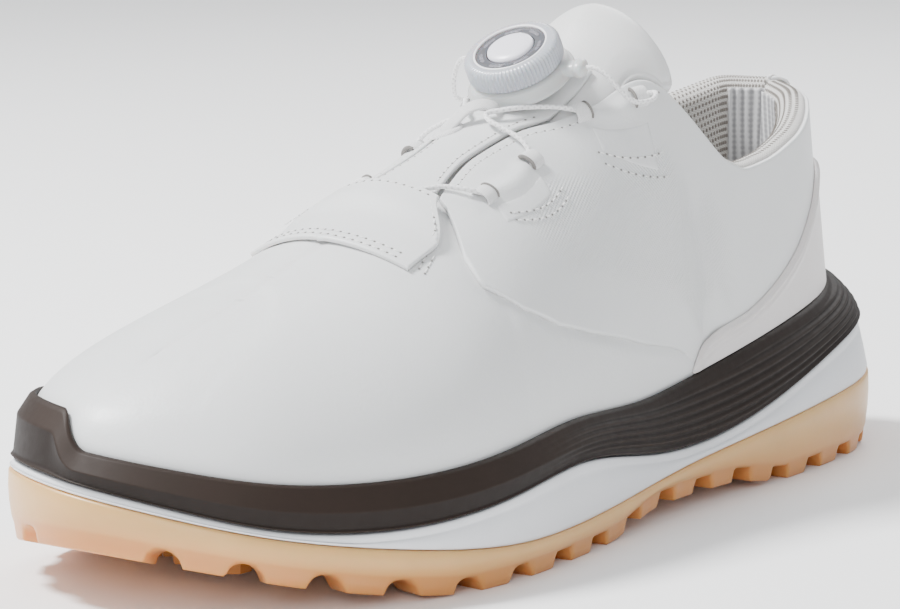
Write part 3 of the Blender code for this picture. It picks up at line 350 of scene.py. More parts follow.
def last_inside(u, test, low=-1.0):
    """Where a test that holds at the bottom of each section stops holding."""
    u = np.asarray(u, float)
    lo = np.full(u.shape, low)
    hi = np.ones(u.shape)
    full = test(bare(u, hi))
    none = ~test(bare(u, lo))
    for _ in range(24):
        middle = (lo + hi) / 2.0
        inside = test(bare(u, middle))
        lo = np.where(inside, middle, lo)
        hi = np.where(inside, hi, middle)
    return np.where(full, 1.0, np.where(none, low, lo))


def height_param(u, z):
    """h of the outer face at a height."""
    return last_inside(u, lambda p: p[..., 2] < z)


def ridge_x(y):
    return np.where(np.asarray(y) > 0, 0.5, 0.5 + np.asarray(y) * 0.02)


def collar_height(u, y):
    lift = np.where(np.asarray(u) % 2.0 > 1.0, COLLAR_MEDIAL_RISE, 0.0)
    return COLLAR_AT(y) + lift * ease((y - 41.0) / 20.0) * (1.0 - ease((y - 118.0) / 16.0))


def eyestay(p):
    """Half width of the throat at a point; the medial side is narrower towards the ankle."""
    narrow = np.where(p[..., 0] < 0, 0.16 * ease((p[..., 1] - 8.0) / 26.0), 0.0)
    return EYESTAY_AT(p[..., 1]) * (1.0 - narrow)


def quarter_top(u):
    """Upper edge of a quarter: the collar at the rear, the eyestay edge at the front."""
    def inside(p):
        rear = p[..., 2] < collar_height(u, p[..., 1])
        front = np.abs(p[..., 0] - ridge_x(p[..., 1])) > eyestay(p)
        return np.where(p[..., 1] > COLLAR_CORNER_Y, rear, front)
    return last_inside(u, inside)


def locate(x, y):
    """u and h of the upper's points over plan positions near the instep, by Newton steps."""
    x, y = np.broadcast_arrays(np.asarray(x, float), np.asarray(y, float))
    t = np.where(y > -40, 0.5 - y / 190.0, 0.71 - (y + 40.0) / 300.0)
    u = np.where(x > MIRROR_X, t, 2.0 - t)
    h = np.full(x.shape, 0.8)
    target = np.stack([x, y], axis=-1)
    for _ in range(16):
        here = bare(u, h)
        miss = target - here[..., :2]
        by_u = (bare(u + 0.002, h) - here)[..., :2] / 0.002
        by_h = (bare(u, h - 0.002) - here)[..., :2] / -0.002
        det = by_u[..., 0] * by_h[..., 1] - by_u[..., 1] * by_h[..., 0]
        det = np.where(np.abs(det) < 1e-6, 1e-6, det)
        du = (miss[..., 0] * by_h[..., 1] - miss[..., 1] * by_h[..., 0]) / det
        dh = (by_u[..., 0] * miss[..., 1] - by_u[..., 1] * miss[..., 0]) / det
        u = u + np.clip(du, -0.05, 0.05)
        h = np.clip(h + np.clip(dh, -0.15, 0.15), 0.05, 0.9995)
    return u, h


def over(x, y, lift=0.0):
    """Points above the upper's outer face at plan positions."""
    u, h = locate(x, y)
    return skin(u, h, np.broadcast_to(lift, u.shape))


# ---------------------------------------------------------------- meshes
def link_object(name, data):
    made = bpy.data.objects.new(name, data)
    bpy.context.scene.collection.objects.link(made)
    return made


def add_piece(name, points, faces, surface, uv=None, attributes=None):
    """Make a closed mesh piece from millimetre points; it rides on a body once it is finished."""
    mesh = bpy.data.meshes.new(name)
    mesh.from_pydata((np.asarray(points, float) * MM).tolist(), [], faces)
    if uv is not None:
        layer = mesh.uv_layers.new(name="surface")
        corner = np.empty(len(mesh.loops), int)
        mesh.loops.foreach_get("vertex_index", corner)
        layer.data.foreach_set("uv", np.asarray(uv, float)[corner].ravel())
    for key, values in (attributes or {}).items():
        mesh.attributes.new(key, "FLOAT", "POINT").data.foreach_set("value", np.asarray(values, float))
    work = bmesh.new()
    work.from_mesh(mesh)
    bmesh.ops.remove_doubles(work, verts=work.verts, dist=2e-6)
    if work.calc_volume(signed=True) < 0:
        bmesh.ops.reverse_faces(work, faces=work.faces)
    work.to_mesh(mesh)
    work.free()
    mesh.materials.append(surface)
    for polygon in mesh.polygons:
        polygon.use_smooth = True
    return link_object(name, mesh)


def running(grid):
    """Surface lengths along both ways of a grid in centimetres, for a pattern's coordinates."""
    across = np.linalg.norm(np.diff(grid, axis=0), axis=-1).mean(axis=1)
    first = np.concatenate([[0.0], np.cumsum(across)])
    return np.stack([np.broadcast_to(first[:, None], grid.shape[:2]), grid_runs(grid)], axis=-1) / 10.0


def grid_faces(rows, columns, close_rows=False, close_columns=False):
    faces = []
    for r in range(rows if close_rows else rows - 1):
        rn = (r + 1) % rows
        for c in range(columns if close_columns else columns - 1):
            cn = (c + 1) % columns
            faces.append((r * columns + c, r * columns + cn, rn * columns + cn, rn * columns + c))
    return faces


def capped_faces(rows, columns):
    """Faces of a tube of closed rows whose first and last rows are closed too."""
    faces = grid_faces(rows, columns, close_columns=True)
    faces.append(tuple(range(columns)))
    faces.append(tuple((rows - 1) * columns + c for c in reversed(range(columns))))
    return faces


def shell(name, outer, inner, surface, attributes=None):
    """Close two matching grids of points into one thick piece."""
    rows, columns = outer.shape[:2]
    size = rows * columns
    faces = grid_faces(rows, columns)
    faces += [tuple(size + q for q in reversed(f)) for f in list(faces)]
    border = ([(0, c) for c in range(columns)] + [(r, columns - 1) for r in range(1, rows)]
              + [(rows - 1, c) for c in range(columns - 2, -1, -1)] + [(r, 0) for r in range(rows - 2, 0, -1)])
    for k, (r, c) in enumerate(border):
        rn, cn = border[(k + 1) % len(border)]
        a = r * columns + c
        b = rn * columns + cn
        faces.append((b, a, size + a, size + b))
    uv = running(outer).reshape(-1, 2)
    both = {key: np.concatenate([np.ravel(v), np.ravel(v)]) for key, v in (attributes or {}).items()}
    points = np.concatenate([outer.reshape(-1, 3), inner.reshape(-1, 3)])
    return add_piece(name, points, faces, surface, np.concatenate([uv, uv]), both)


def ring_body(name, rings, surface, closed_section=False, attributes=None):
    """Close a stack of rings round the shoe into one piece."""
    grid = np.stack(rings, axis=0)
    rows, columns = grid.shape[:2]
    faces = grid_faces(rows, columns, close_rows=closed_section, close_columns=True)
    uv = running(np.swapaxes(grid, 0, 1)).swapaxes(0, 1).reshape(-1, 2)
    flat = {key: np.ravel(v) for key, v in (attributes or {}).items()}
    return add_piece(name, grid.reshape(-1, 3), faces, surface, uv, flat)


def settle(columns, weight, rounds=70):
    """Even out neighbouring columns of points where the weight is high."""
    out = columns.copy()
    for _ in range(rounds):
        middle = out.copy()
        middle[1:-1] = (out[:-2] + out[2:]) / 2.0
        out += weight[:, None, None] * (middle - out)
    return out


def hump(t, centre, width):
    return np.exp(-((t - centre) / width) ** 2)


def relax(piece, chosen, rounds):
    """Even out the chosen part of a mesh."""
    work = bmesh.new()
    work.from_mesh(piece.data)
    verts = [v for v in work.verts if chosen(v.co)]
    for _ in range(rounds):
        bmesh.ops.smooth_vert(work, verts=verts, factor=0.5, use_axis_x=True, use_axis_y=True, use_axis_z=True)
    work.to_mesh(piece.data)
    work.free()


def finish_piece(piece, body, slot, *nodes):
    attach(piece, body)
    if nodes:
        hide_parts(*nodes)
    return piece


def even_path(points, spacing):
    """Evenly spaced points on a smooth curve through the given points."""
    points = np.array(points, float)
    run = run_lengths(points)
    slopes = np.gradient(points, run, axis=0)
    x = np.linspace(0.0, 1.0, 24, endpoint=False)[:, None]
    dense = []
    for k, gap in enumerate(np.diff(run)):
        dense.append(hermite(x, points[k], points[k + 1], gap * slopes[k], gap * slopes[k + 1]))
    dense = np.concatenate(dense + [points[-1:]])
    along = run_lengths(dense)
    count = max(int(round(along[-1] / spacing)), 2)
    return sample(np.linspace(0.0, along[-1], count + 1), along, dense)


def path_frames(path, reference):
    """Along, side and up directions at each point of a path."""
    along = unit(np.gradient(path, axis=0))
    up = np.array(reference, float)
    sides = []
    ups = []
    for direction in along:
        side = unit(np.cross(direction, up))
        up = np.cross(side, direction)
        sides.append(side)
        ups.append(up)
    return along, sides, ups


def sweep(name, path, profile, surface, reference=(0.0, 0.0, 1.0), round_ends=True):
    """Carry a closed profile (side, up) along a path and close both ends, rounded or square."""
    along, sides, ups = path_frames(path, reference)
    reach = float(np.abs(profile).max())
    caps = [(s, reach * math.sqrt(1.0 - s * s) * 0.5) for s in (0.02, 0.5, 0.85)] if round_ends else [(0.02, 0.0)]
    rings = [(path[0] - along[0] * push, sides[0], ups[0], s) for s, push in caps]
    rings += [(path[k], sides[k], ups[k], 1.0) for k in range(len(path))]
    rings += [(path[-1] + along[-1] * push, sides[-1], ups[-1], s) for s, push in reversed(caps)]
    grid = np.array([[c + s * (p[0] * a + p[1] * b) for p in profile] for c, a, b, s in rings])
    return add_piece(name, grid.reshape(-1, 3), capped_faces(*grid.shape[:2]), surface, running(grid).reshape(-1, 2))


def oval(width, height, count=12, squareness=1.0):
    """A closed profile; a squareness below 1 fills out its corners."""
    out = []
    for k in range(count):
        angle = 2 * math.pi * k / count
        c, s = (math.copysign(abs(v) ** squareness, v) for v in (math.cos(angle), math.sin(angle)))
        out.append((width * c / 2, height * s / 2))
    return out


LEAN = np.array([0.0, -math.sin(DIAL_TILT), math.cos(DIAL_TILT)])
UPSLOPE = np.array([0.0, math.cos(DIAL_TILT), math.sin(DIAL_TILT)])
ACROSS = np.array([1.0, 0.0, 0.0])


def dial_point(radius, angle, height):
    """A point about the dial's axis; the angle starts at the lateral side."""
    radius, angle, height = np.broadcast_arrays(radius, angle, height)
    return (DIAL_SEAT + LEAN * height[..., None]
            + radius[..., None] * (ACROSS * np.cos(angle)[..., None] + UPSLOPE * np.sin(angle)[..., None]))


def turned(name, profile, surface, steps=96, ripple=None, closed=True):
    """Turn a profile (radius, height) about the dial's axis; ripple(angle, row) adds to the radius."""
    angles = np.arange(steps) * 2 * math.pi / steps
    rows = []
    for k, (radius, height) in enumerate(profile):
        extra = ripple(angles, k) if ripple else 0.0
        rows.append(dial_point(radius + extra, angles, height))
    faces = grid_faces(len(profile), steps, close_rows=closed, close_columns=True)
    return add_piece(name, np.concatenate(rows), faces, surface)


# ---------------------------------------------------------------- geometry nodes that repeat a small shape
def add_node(tree, kind, settings=None, **inputs):
    """A node with its inputs filled; an input given as another node's socket is linked."""
    node = tree.nodes.new(kind)
    for key, value in (settings or {}).items():
        setattr(node, key, value)
    for key, value in inputs.items():
        socket = node.inputs[key.replace("_", " ")]
        if isinstance(value, bpy.types.NodeSocket):
            tree.links.new(value, socket)
        else:
            socket.default_value = value
    return node


def scatter_tree(name, shape):
    """A tree that sets one small shape on every point, turned to the point's own directions."""
    tree = bpy.data.node_groups.new(name, "GeometryNodeTree")
    tree.is_modifier = True
    face = tree.interface
    face.new_socket("Geometry", in_out="INPUT", socket_type="NodeSocketGeometry")
    for label in ("Length", "Width", "Height"):
        socket = face.new_socket(label, in_out="INPUT", socket_type="NodeSocketFloat")
        socket.default_value = MM
        socket.subtype = "DISTANCE"
    face.new_socket("Material", in_out="INPUT", socket_type="NodeSocketMaterial")
    face.new_socket("Geometry", in_out="OUTPUT", socket_type="NodeSocketGeometry")
    start = tree.nodes.new("NodeGroupInput").outputs
    if shape == "bead":
        form = add_node(tree, "GeometryNodeMeshUVSphere", Segments=8, Rings=6, Radius=0.5)
    else:
        form = add_node(tree, "GeometryNodeMeshCone", Vertices=6, Radius_Top=0.42, Radius_Bottom=0.5, Depth=1.0)
    size = add_node(tree, "ShaderNodeCombineXYZ", X=start["Length"], Y=start["Width"], Z=start["Height"])
    along, up = (add_node(tree, "GeometryNodeInputNamedAttribute", {"data_type": "FLOAT_VECTOR"}, Name=key)
                 for key in ("along", "up"))
    turn = add_node(tree, "FunctionNodeAxesToRotation", {"primary_axis": "Z", "secondary_axis": "X"},
                    Primary_Axis=up.outputs["Attribute"], Secondary_Axis=along.outputs["Attribute"])
    place = add_node(tree, "GeometryNodeInstanceOnPoints", Points=start["Geometry"], Instance=form.outputs["Mesh"],
                     Rotation=turn.outputs["Rotation"], Scale=size.outputs["Vector"])
    real = add_node(tree, "GeometryNodeRealizeInstances", Geometry=place.outputs["Instances"])
    coat = add_node(tree, "GeometryNodeSetMaterial", Geometry=real.outputs["Geometry"], Material=start["Material"])
    add_node(tree, "NodeGroupOutput", Geometry=coat.outputs["Geometry"])
    return tree


TREES = {}


def scatter(name, shape, places, along, up, size, surface, body=SHOE, slot="white_leather", smooth=True):
    """Repeat a small shape at places with the node tree, and keep the result as a plain mesh."""
    if shape not in TREES:
        TREES[shape] = scatter_tree("repeat_" + shape, shape)
    tree = TREES[shape]
    points = bpy.data.meshes.new(name + "_points")
    points.from_pydata((np.asarray(places, float) * MM).tolist(), [], [])
    for key, values in (("along", along), ("up", up)):
        layer = points.attributes.new(key, "FLOAT_VECTOR", "POINT")
        layer.data.foreach_set("vector", np.asarray(values, float).ravel())
    holder = link_object(name + "_points", points)
    modifier = holder.modifiers.new("repeat", "NODES")
    modifier.node_group = tree
    sockets = {s.name: s.identifier for s in tree.interface.items_tree if s.in_out == "INPUT"}
    for label, value in zip(("Length", "Width", "Height"), size):
        modifier[sockets[label]] = value * MM
    modifier[sockets["Material"]] = surface
    bpy.context.view_layer.update()
    result = bpy.data.meshes.new_from_object(holder.evaluated_get(bpy.context.evaluated_depsgraph_get()))
    bpy.data.objects.remove(holder)
    for polygon in result.polygons:
        polygon.use_smooth = smooth
    return finish_piece(link_object(name, result), body, slot)


# ---------------------------------------------------------------- materials
def start_material(name, colour, roughness, **sockets):
    made = bpy.data.materials.new(name)
    made.use_nodes = True
    shader = made.node_tree.nodes["Principled BSDF"]
    shader.inputs["Base Color"].default_value = (*colour, 1.0)
    shader.inputs["Roughness"].default_value = roughness
    for key, value in sockets.items():
        shader.inputs[key.replace("_", " ")].default_value = value
    made.diffuse_color = (*colour, 1.0)
    return made, made.node_tree, shader


def mapped(tree, kind="Object", scale=(1.0, 1.0, 1.0), turn=0.0):
    source = tree.nodes.new("ShaderNodeTexCoord")
    mapping = add_node(tree, "ShaderNodeMapping", Vector=source.outputs[kind], Scale=scale, Rotation=(0.0, 0.0, turn))
    return mapping.outputs["Vector"]


def noise(tree, vector, scale, detail=3.0, roughness=0.5):
    return add_node(tree, "ShaderNodeTexNoise", Vector=vector, Scale=scale, Detail=detail,
                    Roughness=roughness).outputs["Fac"]


def ramp(tree, factor, stops):
    made = add_node(tree, "ShaderNodeValToRGB", Fac=factor)
    for element, (place, colour) in zip(made.color_ramp.elements, stops):
        element.position = place
        element.color = (*colour, 1.0)
    return made.outputs["Color"]


def remap(tree, factor, low, high, from_low=0.0, from_high=1.0):
    return add_node(tree, "ShaderNodeMapRange", Value=factor, From_Min=from_low, From_Max=from_high,
                    To_Min=low, To_Max=high).outputs["Result"]


def maths(tree, operation, first, second=None):
    made = add_node(tree, "ShaderNodeMath", {"operation": operation})
    for socket, value in zip(made.inputs, (first, second)):
        if isinstance(value, bpy.types.NodeSocket):
            tree.links.new(value, socket)
        elif value is not None:
            socket.default_value = value
    return made.outputs["Value"]


def attribute(tree, name):
    return add_node(tree, "ShaderNodeAttribute", {"attribute_name": name}).outputs["Fac"]


def bump(tree, shader, height, strength, distance, before=None):
    """A bump from a height; one made before it lies under it."""
    under = {} if before is None else {"Normal": before}
    made = add_node(tree, "ShaderNodeBump", Height=height, Strength=strength, Distance=distance, **under)
    tree.links.new(made.outputs["Normal"], shader.inputs["Normal"])
    return made.outputs["Normal"]


def shade(colour, factor):
    return tuple(min(c * factor, 1.0) for c in colour)


def waves(tree, vector, per_unit, axis):
    """A sine stripe along one coordinate."""
    split = add_node(tree, "ShaderNodeSeparateXYZ", Vector=vector)
    return maths(tree, "SINE", maths(tree, "MULTIPLY", split.outputs[axis], per_unit * 2 * math.pi))


def leather(name, colour, embossed=False):
    """Smooth coated leather: fine pores, faint creases and a slightly uneven sheen."""
    made, tree, shader = start_material(name, colour, 0.42, Coat_Weight=0.12, Coat_Roughness=0.3,
                                        Subsurface_Weight=0.04)
    place = mapped(tree)
    cloud = noise(tree, place, 28.0, 4.0)
    tree.links.new(ramp(tree, cloud, [(0.3, shade(colour, 0.965)), (0.7, colour)]), shader.inputs["Base Color"])
    tree.links.new(remap(tree, noise(tree, place, 240.0, 2.0), 0.36, 0.5), shader.inputs["Roughness"])
    pores = add_node(tree, "ShaderNodeTexVoronoi", Vector=place, Scale=1150.0)
    grain = bump(tree, shader, pores.outputs["Distance"], 0.22, 0.00012)
    crease = bump(tree, shader, noise(tree, place, 130.0, 5.0, 0.6), 0.18, 0.0005, grain)
    if embossed:
        uv = mapped(tree, "UV")
        across = waves(tree, uv, 8.5, "X")
        down = waves(tree, uv, 8.5, "Y")
        dots = maths(tree, "MULTIPLY", maths(tree, "MULTIPLY", across, down), attribute(tree, "emboss"))
        bump(tree, shader, dots, 0.55, 0.00022, crease)
    return made


def textile(name, colour, dark, pitch, net=False, stripes=False, sheen=0.4, flat=False):
    """Knitted or woven cloth in stitches to the centimetre, on the piece's own coordinates or laid flat."""
    made, tree, shader = start_material(name, colour, 0.9, Sheen_Weight=sheen, Sheen_Roughness=0.5)
    turn = math.radians(45.0) if net else 0.0
    uv = mapped(tree, "Object", (100.0, 100.0, 100.0), turn) if flat else mapped(tree, "UV", turn=turn)
    across = waves(tree, uv, pitch, "X")
    down = waves(tree, uv, pitch * (1.0 if net else 1.6), "Y")
    if stripes:
        weave = maths(tree, "ADD", across, maths(tree, "MULTIPLY", down, 0.25))
    else:
        weave = maths(tree, "MAXIMUM" if net else "MULTIPLY", across, down)
    fuzz = noise(tree, mapped(tree), 900.0, 2.0)
    both = maths(tree, "ADD", remap(tree, weave, 0.0, 0.8, -1.0, 1.0), maths(tree, "MULTIPLY", fuzz, 0.3))
    tree.links.new(ramp(tree, both, [(0.15, dark), (0.75, colour)]), shader.inputs["Base Color"])
    bump(tree, shader, both, 0.5, 0.0003)
    return made


def moulded(name, colour, roughness, tone=None, speckle=0.06, **sockets):
    """Moulded rubber or foam with a faint flow mottle; tone blends towards a second colour."""
    made, tree, shader = start_material(name, colour, roughness, **sockets)
    place = mapped(tree)
    cloud = noise(tree, place, 60.0, 4.0)
    base = ramp(tree, cloud, [(0.25, shade(colour, 1.0 - speckle)), (0.75, shade(colour, 1.0 + speckle))])
    if tone is not None:
        mix = tree.nodes.new("ShaderNodeMix")
        mix.data_type = "RGBA"
        tree.links.new(attribute(tree, "tone"), mix.inputs["Factor"])
        tree.links.new(base, mix.inputs["A"])
        mix.inputs["B"].default_value = (*tone, 1.0)
        base = mix.outputs["Result"]
    tree.links.new(base, shader.inputs["Base Color"])
    tree.links.new(remap(tree, noise(tree, place, 400.0, 3.0), roughness - 0.07, roughness + 0.07),
                   shader.inputs["Roughness"])
    bump(tree, shader, noise(tree, place, 1500.0, 2.0), 0.15, 0.0001)
    return made


def clear_plastic(name, colour, roughness, transmission):
    made, tree, shader = start_material(name, colour, roughness, Transmission_Weight=transmission, IOR=1.48,
                                        Subsurface_Weight=0.15, Coat_Weight=0.3, Coat_Roughness=0.15)
    cloud = noise(tree, mapped(tree), 120.0, 2.0)
    tree.links.new(ramp(tree, cloud, [(0.3, shade(colour, 0.95)), (0.7, colour)]), shader.inputs["Base Color"])
    tree.links.new(remap(tree, noise(tree, mapped(tree), 700.0, 2.0), roughness - 0.05, roughness + 0.08),
                   shader.inputs["Roughness"])
    return made


FINISHES = {}


def finish(name):
    """The named finish, made once."""
    if name in FINISHES:
        return FINISHES[name]
    look = bpy.context.scene.golf_shoe
    white = tuple(look.leather_colour)
    makers = {
        "leather": lambda: leather("coated_leather", white),
        "embossed": lambda: leather("embossed_leather", white, embossed=True),
        "heel": lambda: leather("heel_leather", tuple(look.heel_colour)),
        "mesh": lambda: textile("collar_knit", tuple(look.lining_colour), shade(tuple(look.lining_colour), 0.62), 9.0),
        "stripe": lambda: textile("heel_stripe_knit", (0.62, 0.62, 0.63), (0.30, 0.30, 0.31), 4.0, stripes=True),
        "net": lambda: textile("net_lining", (0.30, 0.29, 0.27), (0.03, 0.028, 0.026), 4.0, net=True),
        "inner_net": lambda: textile("inner_net", (0.30, 0.29, 0.27), (0.03, 0.028, 0.026), 4.0, net=True, flat=True),
        "webbing": lambda: textile("webbing", (0.80, 0.80, 0.80), (0.56, 0.56, 0.56), 14.0),
        "cord": lambda: textile("braided_cord", (0.86, 0.86, 0.86), (0.60, 0.60, 0.60), 9.0, net=True),
        "thread": lambda: moulded("thread", (0.80, 0.80, 0.79), 0.7),
        # The hole and perforation finishes are dark colours of painted shade, for beads and strips that stand in for
        # holes and slits.
        "hole": lambda: moulded("painted_hole_shade", (0.20, 0.19, 0.18), 0.9),
        "painted_perforation_shade": lambda: moulded("painted_mesh_hole_shade", (0.24, 0.22, 0.20), 0.95),
        "gum": lambda: moulded("gum_rubber", tuple(look.gum_colour), 0.36, tone=(0.56, 0.21, 0.05),
                               Subsurface_Weight=0.25, Coat_Weight=0.15, Coat_Roughness=0.3),
        "lug": lambda: moulded("lug_rubber", (0.52, 0.22, 0.06), 0.4),
        "foam": lambda: moulded("midsole_foam", tuple(look.midsole_colour), 0.5, speckle=0.02),
        # The band's tone colour is mixed in as painted shade, most on its lower toe facets and in its rib grooves.
        "band": lambda: moulded("sole_band_rubber", tuple(look.band_colour), 0.58, tone=(0.008, 0.005, 0.004),
                                speckle=0.1, Specular_IOR_Level=0.22),
        "knob": lambda: clear_plastic("frosted_knob", tuple(look.dial_colour), 0.3, 0.25),
        "base": lambda: clear_plastic("dial_base_plastic", (0.70, 0.69, 0.68), 0.34, 0.2),
        "smoke": lambda: clear_plastic("smoked_ring", (0.12, 0.115, 0.13), 0.2, 0.1),
        "segment": lambda: clear_plastic("ring_segment", (0.25, 0.24, 0.27), 0.25, 0.1),
        "cap": lambda: moulded("dial_cap_plastic", (0.80, 0.79, 0.86), 0.3, speckle=0.01),
        "rim": lambda: moulded("dial_rim_plastic", (0.88, 0.88, 0.90), 0.3, speckle=0.01),
        "board": lambda: moulded("pressed_fibre_board", (0.62, 0.52, 0.38), 0.8, speckle=0.15),
        "pad": lambda: moulded("open_foam", (0.80, 0.78, 0.72), 0.95, speckle=0.1),
        "steel": lambda: moulded("turned_steel", (0.6, 0.6, 0.62), 0.3, speckle=0.03, Metallic=1.0),
        "shank": lambda: moulded("shank_plastic", (0.1, 0.1, 0.11), 0.4),
    }
    FINISHES[name] = makers[name]()
    return FINISHES[name]


# ---------------------------------------------------------------- sole
def columns_round(count):
    return np.arange(count) * 2.0 / count


def spine_plan(u):
    middle = (rim_plan(u) + rim_plan(2.0 - u)) / 2.0
    return middle * np.array([1.0, 0.74])


def sole_ring(u, inset, height, toward_spine=0.0):
    here, inward = rim_point(u)
    edge = here + inward * np.broadcast_to(inset, u.shape)[..., None]
    plan = edge * (1.0 - toward_spine) + spine_plan(u) * toward_spine
    return flat3(plan, height(plan[..., 1]) if callable(height) else height)


def notch_profile(u):
    """1 in a tread notch and 0 on a lug, round the sole's edge."""
    t, _ = side_share(u)
    fore = [0.665, 0.72, 0.775, 0.83, 0.885, 0.94]
    rear = [0.03, 0.075, 0.12, 0.17, 0.225, 0.28, 0.335, 0.39, 0.445, 0.50, 0.555, 0.61]
    depth = np.zeros_like(t)
    for centre in fore:
        x = np.abs(t - centre) / 0.013
        depth = np.maximum(depth, np.sqrt(np.clip(1.0 - x * x, 0.0, 1.0)))
    for centre in rear:
        depth = np.maximum(depth, 1.0 - ease((np.abs(t - centre) - 0.0105) / 0.0035))
    return depth


def make_sole():
    look = bpy.context.scene.golf_shoe
    u = columns_round(look.rim_columns)
    gum = GUM_TOP_AT(u)
    notch = notch_profile(u)

    def cut(y):
        return LUG_FACE_AT(y) + notch * (LUG_HEIGHT - 0.5)

    def plate(y):
        return floor_mid(y) + PLATE_THICKNESS

    def plate_edge(y):
        return np.minimum(plate(y), gum - 0.2)

    def between(share):
        return lambda y: (floor_mid(y) + 0.4) * share + (gum - 1.0) * (1.0 - share)

    rings = [
        (0.0, sole_ring(u, 6.0, plate, 1.0)),
        (0.0, sole_ring(u, 6.0, plate, 0.5)),
        (0.0, sole_ring(u, GUM_WALL + 1.2, plate_edge)),
        (0.0, sole_ring(u, GUM_WALL, lambda y: np.maximum(gum, plate_edge(y) + 0.1))),
        (0.0, sole_ring(u, 0.75, gum)),
        (0.0, sole_ring(u, 0.22, gum - 0.15)),
        (0.0, sole_ring(u, 0.0, gum - 0.6)),
        (0.05, sole_ring(u, -0.15, between(0.3))),
        (0.12, sole_ring(u, 0.05, between(0.6))),
        (0.3, sole_ring(u, 0.5, between(0.9))),
        (0.75, sole_ring(u, 0.95, lambda y: floor_mid(y) + 0.1)),
        (0.85, sole_ring(u, 1.15, lambda y: np.minimum(cut(y) * 0.4 + floor_mid(y) * 0.6, floor_mid(y) - 0.3))),
        (0.9, sole_ring(u, 1.45, lambda y: cut(y) + 0.45)),
        (1.0, sole_ring(u, 1.9, cut)),
        (1.0, sole_ring(u, 6.0, cut)),
        (1.0, sole_ring(u, 11.6, cut)),
        (0.9, sole_ring(u, 12.6, lambda y: cut(y) + 0.4)),
        (0.8, sole_ring(u, 13.2, floor_mid)),
        (0.6, sole_ring(u, 16.0, floor_mid)),
        (0.6, sole_ring(u, 16.0, floor_mid, 0.4)),
        (0.6, sole_ring(u, 16.0, floor_mid, 0.75)),
        (0.6, sole_ring(u, 16.0, floor_mid, 1.0)),
    ]
    tones = np.array([np.full(len(u), tone) for tone, _ in rings])
    gum_piece = ring_body("gum_outsole", [ring for _, ring in rings], finish("gum"), attributes={"tone": tones})
    finish_piece(gum_piece, SHOE, "gum_rubber", "outsole")

    places = []
    for share, phase in ((0.47, 0.0), (0.80, 0.5)):
        for k in range(15):
            for side in (1.0, -1.0):
                t = 0.06 + (k + phase) * 0.0585
                spot_u = t if side > 0 else 2.0 - t
                places.append(sole_ring(np.array([spot_u]), 16.0, floor_mid, share)[0])
    places = np.array(places)
    places[:, 2] += 0.3
    along = np.tile([0.0, 1.0, 0.0], (len(places), 1))
    up = np.tile([0.0, 0.0, -1.0], (len(places), 1))
    scatter("tread_lugs", "block", places, along, up, (9.5, 6.4, LUG_HEIGHT), finish("lug"), slot="gum_rubber",
            smooth=False)

    shelf = BAND_BOTTOM_AT(u) - 0.4
    band_inset = BAND_BOTTOM_INSET_AT(u)
    inner = BAND_TOP_INSET_AT(u) + 1.2
    wall = shelf - gum - 0.4

    def wall_ring(share, inset):
        base = band_inset * (1.0 - share) + 0.25 * share
        return sole_ring(u, base + inset, shelf - 0.3 - share * (wall - 0.6))

    groove = np.clip(1.9 / np.maximum(wall, 2.2), 0.2, 0.8)
    rings = [
        sole_ring(u, 10.0, lambda y: FOOT_BED_AT(y) - 1.9, 1.0),
        sole_ring(u, 10.0, lambda y: FOOT_BED_AT(y) - 1.9, 0.45),
        sole_ring(u, 10.0, FOOT_BED_AT, 0.36),
        sole_ring(u, inner + 1.3, FOOT_BED_AT),
        sole_ring(u, inner, shelf),
        sole_ring(u, band_inset + 0.6, shelf),
        sole_ring(u, band_inset + 0.15, shelf - 0.1),
        wall_ring(0.03, 0.0),
        wall_ring(groove - 0.05, 0.0),
        wall_ring(groove, 0.28),
        wall_ring(groove + 0.05, 0.0),
        wall_ring(0.55 + 0.3 * groove, -0.1),
        wall_ring(0.95, 0.0),
        sole_ring(u, 0.6, gum + 0.3),
        sole_ring(u, GUM_WALL + 0.8, lambda y: np.maximum(gum, plate_edge(y) + 0.1) + 0.4),
        sole_ring(u, GUM_WALL + 2.6, lambda y: plate_edge(y) + 0.7),
        sole_ring(u, 6.5, lambda y: plate(y) + 0.7, 0.5),
        sole_ring(u, 6.5, lambda y: plate(y) + 0.7, 1.0),
    ]
    foam_piece = ring_body("midsole_foam", rings, finish("foam"))
    finish_piece(foam_piece, SHOE, "white_midsole", "midsole")


def floor_mid(y):
    """Height of the outsole's underside between the lugs."""
    return LUG_FACE_AT(y) + LUG_HEIGHT


def bumper_rise(u):
    """How far the toe bumper climbs above the band's own top."""
    u = np.asarray(u) % 2.0
    up = ease((u - BUMPER_START) / BUMPER_RAMP)
    down = ease((BUMPER_END - u) / BUMPER_RAMP)
    return BUMPER_RISE * np.minimum(up, down)


